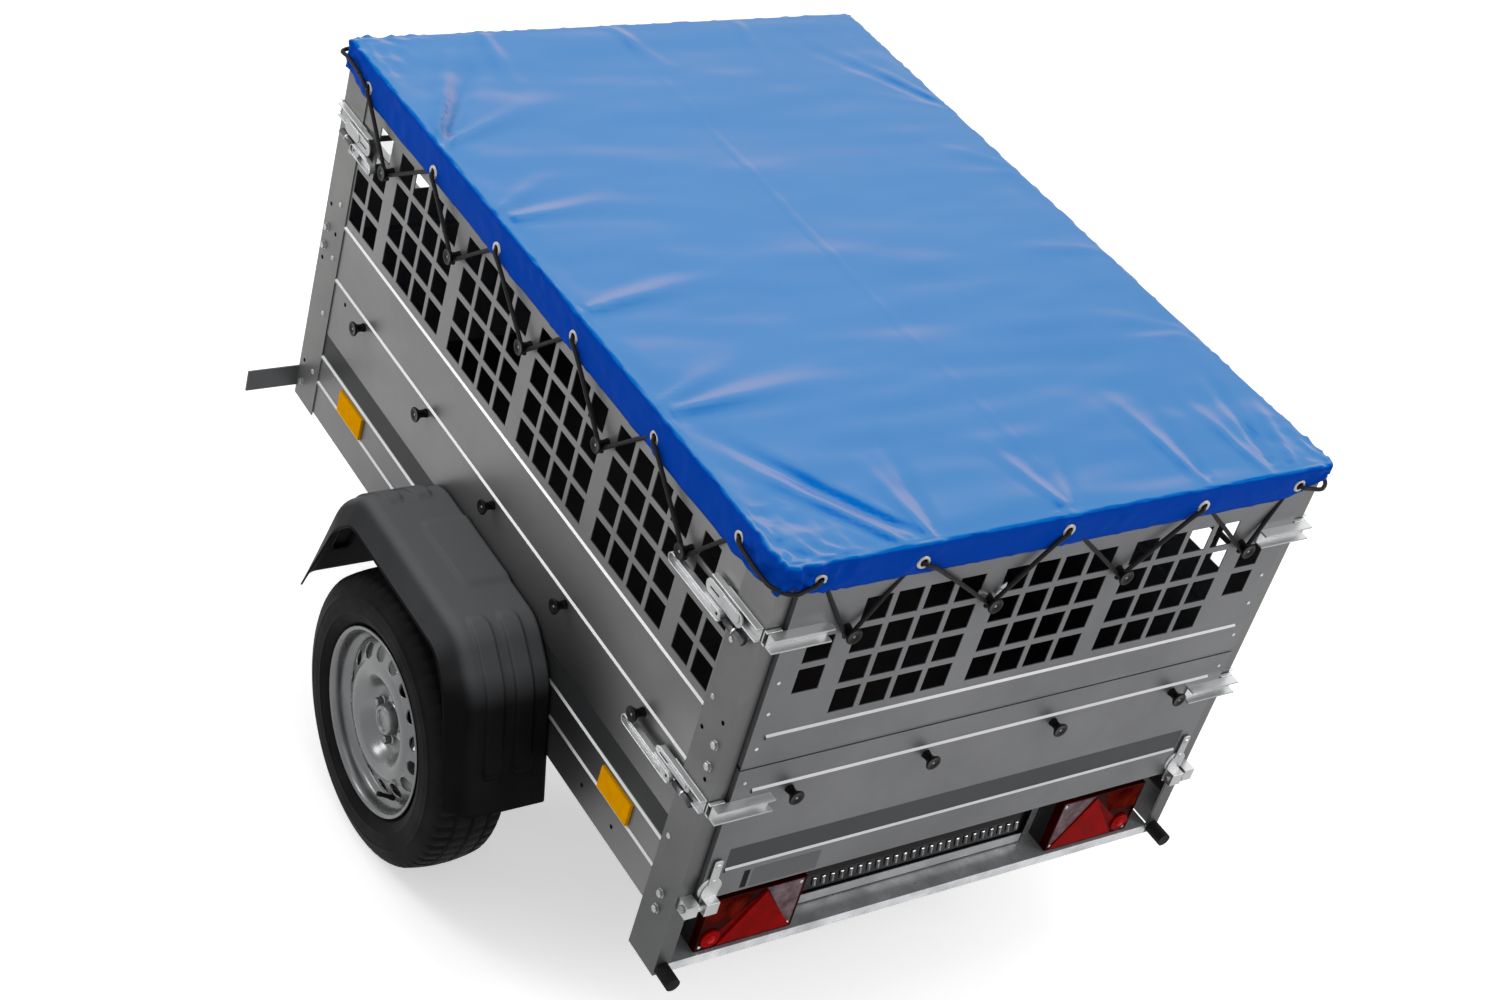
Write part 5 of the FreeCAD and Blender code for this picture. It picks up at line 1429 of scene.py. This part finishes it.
def latchParts(low, high):
    # Parts of one latch: bright metal, dark barrel and the holes
    look = latchLook
    sign = sideOf((low, high))
    face, inward = (rearX, 1) if low.x < coverMiddle.x else (frontX, -1)
    length = ((high.x - rearX) if inward > 0 else (frontX - low.x)) / mm
    top = (high.z - low.z) / mm

    def place(along, up, out):
        return Vector((face + inward * along * mm, sign * (halfWidth + out * mm), low.z + up * mm))

    def around(y, back, up):
        return Vector((face - inward * back * mm, sign * y * mm, low.z + up * mm))

    sheet, cut, flangeFoot = look["sheet"], look["plateCut"], look["flangeFoot"]
    (plateStart, plateEnd), (step, foot) = look["plate"], look["plateFoot"]
    channel = top - look["channel"]
    upper, lower = (top - sheet, top), (channel, channel + sheet)
    bright = [slab([(plateStart, channel), (plateStart, top), (plateEnd - cut, top),
                    (plateEnd, top - cut), (plateEnd, cut), (plateEnd - cut, 0), (foot, 0),
                    (step, channel)], place, *look["plateOut"])]
    for (end, edge), up in ((look["upperFlange"], upper), (look["lowerFlange"], lower)):
        bright.append(block(place, (plateStart, end), up, (flangeFoot, edge)))
    hookY = (halfWidth / mm + look["hookOut"], look["hookEnd"])
    for depth, up in ((look["hookFlange"], lower), (look["hookFlange"], upper),
                      (sheet, (channel, top))):
        bright.append(block(around, hookY, (0, depth), up))
    start, tall, wall = look["leverStart"], look["leverHeight"], look["leverWall"]
    overLever, underTop = look["linkGap"]
    linkLow = tall + overLever
    linkHigh = min(top - underTop, linkLow + look["linkHeight"])
    padLow, padHigh = look["padInset"]
    inset, base = look["coreInset"], look["leverFoot"]
    bright += [slab(stadium(*look["link"], linkLow, linkHigh), place, *look["linkOut"]),
               slab(stadium(*look["pad"], linkLow + padLow, linkHigh - padHigh), place,
                    *look["padOut"]),
               block(place, look["core"], (linkLow + inset, linkHigh - inset), look["coreOut"]),
               trough(stadium(start, length, base, tall),
                      stadium(start + wall, length - wall, base + wall, tall - wall),
                      place, *look["leverOut"])]
    (webStart, webEnd), (webLow, webHigh) = look["web"], look["webUp"]
    for up in ((webLow, webHigh), (tall - webHigh, tall - webLow)):
        bright.append(block(place, (start + webStart, webEnd), up, look["webOut"]))
    (gripStart, gripEnd), gripInset = look["grip"], look["gripInset"]
    bright += [slab(stadium(start + gripStart, start + gripEnd, gripInset, tall - gripInset),
                    place, *look["gripOut"]),
               turned(look["collar"], place(*look["collarPlace"]), (inward, 0, 0), 20)]
    # barrel darkened as painted shade
    dark = [turned(look["barrel"], place(*look["barrelPlace"]), (inward, 0, 0), 20)]
    slotMiddle, half = (linkLow + linkHigh) / 2, look["slotHalf"]
    # slot and pin hole: dark fills of painted shade
    slots = [block(place, look["slot"], (slotMiddle - half, slotMiddle + half), look["slotOut"]),
             turned(look["pinHole"], place(start + look["pinIn"], tall / 2, look["gripOut"][1]),
                    (0, sign, 0), 12)]
    return bright, dark, slots


def makeLatches(name):
    bright, dark, slots = [sum(parts, []) for parts in
                           zip(*(latchParts(low, high) for low, high in solidsOf(name)))]
    main = newPiece(name + "_levers", bright, "brightZinc", smooth=False)
    newPiece(name + "_barrels", dark, "barrelPaintedShade")
    newPiece(name + "_slots", slots, "paintedHoleShade", smooth=False)
    bevelEdges(main, 0.9)
    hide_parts(name)


makeLatches("rear_latches")
makeLatches("front_latches")


# Seams: returns that close the gaps beside and above the tailgate, in mm
seamLook = {"aboveDepth": (0.9, 2.4), "overGate": 2.2, "overlap": 1, "besideDepth": (0.6, 2.2),
            "beside": (2.4, 7), "foot": 10}


def makeSeams():
    look = seamLook
    gateLow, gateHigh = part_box("tailgate_panel")
    overlap = look["overlap"] * mm
    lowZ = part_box("rear_posts")[0].z + look["foot"] * mm

    def rearBlock(face, depth, y, z):
        x = [face + inward * mm for inward in depth]
        return block(lambda across, up, along: Vector((along, across, up)), y, z, x)

    parts = [rearBlock(gateX, look["aboveDepth"], (gateLow.y + overlap, gateHigh.y - overlap),
                       (gateHigh.z + look["overGate"] * mm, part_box("mesh_rear")[0].z + overlap))]
    for sign in (1, -1):
        edges = sorted(sign * (gateHigh.y + gap * mm) for gap in look["beside"])
        parts.append(rearBlock(rearX, look["besideDepth"], edges, (lowZ, meshTopZ)))
    newPiece("seam_returns", parts, "galvPost", smooth=False)


# Crimped end of the cord beside one rear knob: outlines in mm and their thickness
clipLook = {"knobWithin": 0.2, "depth": 6,
            "folds": (([(9, 3), (24, 10), (21, 19), (6, 12)], 7),
                      ([(-34, 6), (-17, 16), (-33, 24)], 2),
                      ([(-30, -2), (-12, 6), (-17, 16), (-34, 6)], 5))}


def makeCordClip():
    middle = max(y for y in rearKnobY if y < clipLook["knobWithin"])

    def place(across, up, out):
        return Vector((coverLow.x + clipLook["depth"] * mm - out * mm, middle + across * mm,
                       upperZ + up * mm))

    parts = [slab(outline, place, 0, thickness) for outline, thickness in clipLook["folds"]]
    bevelEdges(newPiece("cord_clips", parts, "boltZinc", smooth=False), 0.8)


makeSeams()
makeCordClip()
print("latches and seams ready")


# Rear lamps: colour zones, outer facets in a darker red of painted shade, frame, screws and the domes
# of the small lamps, painted bright red as a highlight
lampLook = {
    "frame": 3.2 * mm, "frameDepth": 1.6 * mm, "lift": 0.35 * mm, "middle": 0.52,
    "leastTriangle": 0.1, "domeDepth": 0.5 * mm, "baseIn": 2 * mm, "facetIn": (1 * mm, 3 * mm),
    "amberIn": (24 * mm, 50 * mm), "screwIn": 9 * mm, "screwUp": (9 * mm, 12 * mm, 8 * mm),
    "screw": [(0, 3.6), (1.4, 3.6), (2.2, 2.16), (2.2, 0.01)],
    "dome": [(0, 9), (1.4, 8.6), (3.4, 6.6), (4.4, 3.6), (4.7, 0.01)],
}


def ringFrame(outer, inner, face, depth):
    # A rectangular frame in the plane of the lamp: (across, height) corners, face towards the rear
    verts = [Vector((along, y, z)) for along in (face, face - depth)
             for (lowY, lowZ), (highY, highZ) in (outer, inner)
             for y, z in ((lowY, lowZ), (highY, lowZ), (highY, highZ), (lowY, highZ))]
    faces = []
    for k in range(4):
        n = (k + 1) % 4
        faces += [(k, n, 4 + n, 4 + k), (8 + k, 12 + k, 12 + n, 8 + n),
                  (k, 8 + k, 8 + n, n), (4 + k, 4 + n, 12 + n, 12 + k)]
    return verts, faces


def makeLampDress():
    look = lampLook
    edge = look["frame"]
    frames, clears, ambers, shadeFacets, screws, domes = [], [], [], [], [], []
    triangles = []
    for low, high in solidsOf("lamp_reflectors"):
        if high.y - low.y > look["leastTriangle"]:
            triangles.append((low, high))
        else:
            middle = (low + high) / 2
            # domes of the small lamps, painted bright red as a highlight
            domes.append(turned(look["dome"], (low.x + look["domeDepth"], middle.y, middle.z),
                                (-1, 0, 0), 24))
    for (low, high), (triLow, triHigh) in zip(solidsOf("lamp_lenses"), triangles):
        sign = sideOf((low, high))
        inner, outer = (low.y, high.y) if sign > 0 else (high.y, low.y)
        frames.append(ringFrame(((low.y, low.z), (high.y, high.z)),
                                ((low.y + edge, low.z + edge), (high.y - edge, high.z - edge)),
                                low.x, look["frameDepth"]))
        triBase = (triLow.y if sign > 0 else triHigh.y) + sign * look["baseIn"]
        apex = (triLow.y + triHigh.y) / 2
        middle = low.z + (high.z - low.z) * look["middle"]
        near, far, top = inner + sign * edge, outer - sign * edge, high.z - edge
        for zone, corners in (
                (clears, ((near, low.z + edge * 2), (near, top), (apex, top), (triBase, triLow.z))),
                # outer facets: a darker red of painted shade
                (shadeFacets, ((far, low.z + edge), (triBase, triLow.z + look["facetIn"][0]),
                          (apex + sign * look["facetIn"][1], triHigh.z))),
                (ambers, ((far, middle), (far, top), (apex + sign * look["amberIn"][0], top),
                          (apex + sign * look["amberIn"][1], middle)))):
            zone.append(([Vector((low.x - look["lift"], y, z)) for y, z in corners],
                         [tuple(range(len(corners)))]))
        aside = sign * look["screwIn"]
        innerUp, innerDown, outerUp = look["screwUp"]
        screws += [turned(look["screw"], (low.x, y, z), (-1, 0, 0), 14)
                   for y, z in ((inner + aside, low.z + innerUp), (inner + aside, high.z - innerDown),
                                (outer - aside, low.z + outerUp))]
    newPiece("lamp_frames", frames, "redShade", smooth=False)
    newPiece("lamp_screws", screws, "brightZinc")
    newPiece("lamp_domes", domes, "paintedRedGlow")
    for name, zone, finish in (("lamp_shaded_facets", shadeFacets, "redPaintedShade"),
                               ("lamp_clear_zones", clears, "palePrism"),
                               ("lamp_amber_zones", ambers, "amberShade")):
        thicken(newPiece(name, zone, finish, smooth=False, outward=False), 0.3, 0)


makeLampDress()


# Number plate holder: even ribs along the dark field, painted light grey with a painted highlight on
# their tops as reflections on gloss black, pale blank strip below
plateLook = {"ribs": 24, "margin": 16, "width": 11, "height": 24, "depth": 4, "slope": 2.4,
             "lean": 4, "strip": 24, "edge": 3, "ribLift": 12, "bevel": 2.2, "bevelSteps": 3}


def makePlateDress():
    look = {name: value * mm for name, value in plateLook.items()}
    low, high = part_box("plate_holder")
    edge, stripTop = look["edge"], low.z + look["strip"]
    makeFilm("plate_strip", [Vector((low.x, y, z)) for y, z in (
        (high.y - edge, low.z + edge), (low.y + edge, low.z + edge),
        (low.y + edge, stripTop), (high.y - edge, stripTop))], "plateStrip", lift=0.6)
    foot, ribs = stripTop + look["ribLift"], plateLook["ribs"]
    pitch = (high.y - low.y - 2 * look["margin"]) / ribs
    parts = []
    for k in range(ribs):
        left = low.y + look["margin"] + k * pitch
        corners = []
        for depth, inset in ((0, 0), (look["depth"], look["slope"])):
            start, end = left + inset, left + look["width"] - inset
            top = foot + look["height"] - inset
            corners += [Vector((low.x + edge - depth, y, z)) for y, z in (
                (start, foot + inset), (end, foot + inset),
                (end + look["lean"], top), (start + look["lean"], top))]
        parts.append((corners, boxFaces))
    bevelEdges(newPiece("plate_ribs", parts, "paintedRibReflection", smooth=False), plateLook["bevel"],
               plateLook["bevelSteps"])


makePlateDress()
print("lamps and plate ready")


# Hinges: leaves bent round the pin, with round washers behind them, and the pins' ends
hingeLook = {
    "center": 40, "neck": 8.5, "leaf": (2.8, 5.6), "knuckle": 13, "knuckleHeight": 27,
    "arcSteps": 12, "cut": 3,
    "rivets": ((-12, 1.0), (62, 0.8)),  # mm up, from the top where negative, and size
    "washer": [(0, 23), (2.2, 23), (2.8, 22.2), (2.8, 5)], "washerUp": 42,
    "pin": [(0, 7.5), (3, 7.5), (4, 6.5), (4, 0.01)], "pinDepth": 13,
}


def makeHingeDress():
    look = hingeLook
    center, neck, cut = look["center"], look["neck"], look["cut"]
    leaves, washers = [], []
    for low, high in solidsOf("tailgate_straps"):
        across, half, tall = (low.y + high.y) / 2, (high.y - low.y) / 2 / mm, (high.z - low.z) / mm
        shoulder = center + math.sqrt(half ** 2 - neck ** 2)

        def place(u, v, out):
            return Vector((gateX - out * mm, across + u * mm, low.z + v * mm))

        def arc(first, last):
            angles = [math.pi * k / look["arcSteps"] for k in range(first, last)]
            return [(half * math.cos(angle), center + half * math.sin(angle)) for angle in angles]

        outline = [(-half, 0), (half, 0), (half, center), *arc(1, 5), (neck, shoulder),
                   (neck, tall - cut), (neck - cut, tall), (cut - neck, tall), (-neck, tall - cut),
                   (-neck, shoulder), *arc(8, 12), (-half, center)]
        leaves += [slab(outline, place, *look["leaf"]),
                   block(place, (-look["knuckle"], look["knuckle"]), (0, look["knuckleHeight"]),
                         (0, (gateX - low.x) / mm))]
        profile, sides = fixingShapes["dome"]
        leaves += [turned([(a * size, r * size) for a, r in profile],
                          place(0, up if up > 0 else tall + up, look["leaf"][1]), (-1, 0, 0), sides)
                   for up, size in look["rivets"]]
        washers.append(turned(look["washer"], place(0, look["washerUp"], 0), (-1, 0, 0), 36))
    pins = []
    for low, high in solidsOf("hinge_brackets"):
        sign = sideOf((low, high))
        pins.append(turned(look["pin"], (low.x + look["pinDepth"] * mm,
                                         high.y if sign > 0 else low.y, (low.z + high.z) / 2),
                           (0, sign, 0), 20))
    leaf = newPiece("hinge_leaves", leaves, "brightZinc", "tailgate", smooth=False)
    bevelEdges(leaf, 1.2)
    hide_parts("tailgate_straps")
    newPiece("hinge_washers", washers, "brightZinc", "tailgate")
    newPiece("hinge_pin_ends", pins, "hubSteel")


makeHingeDress()
print("hinges ready")


sizes = {"at_load": boxAtLoad, "at_end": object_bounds()}
{key: [list(corner) for corner in value] for key, value in sizes.items()}
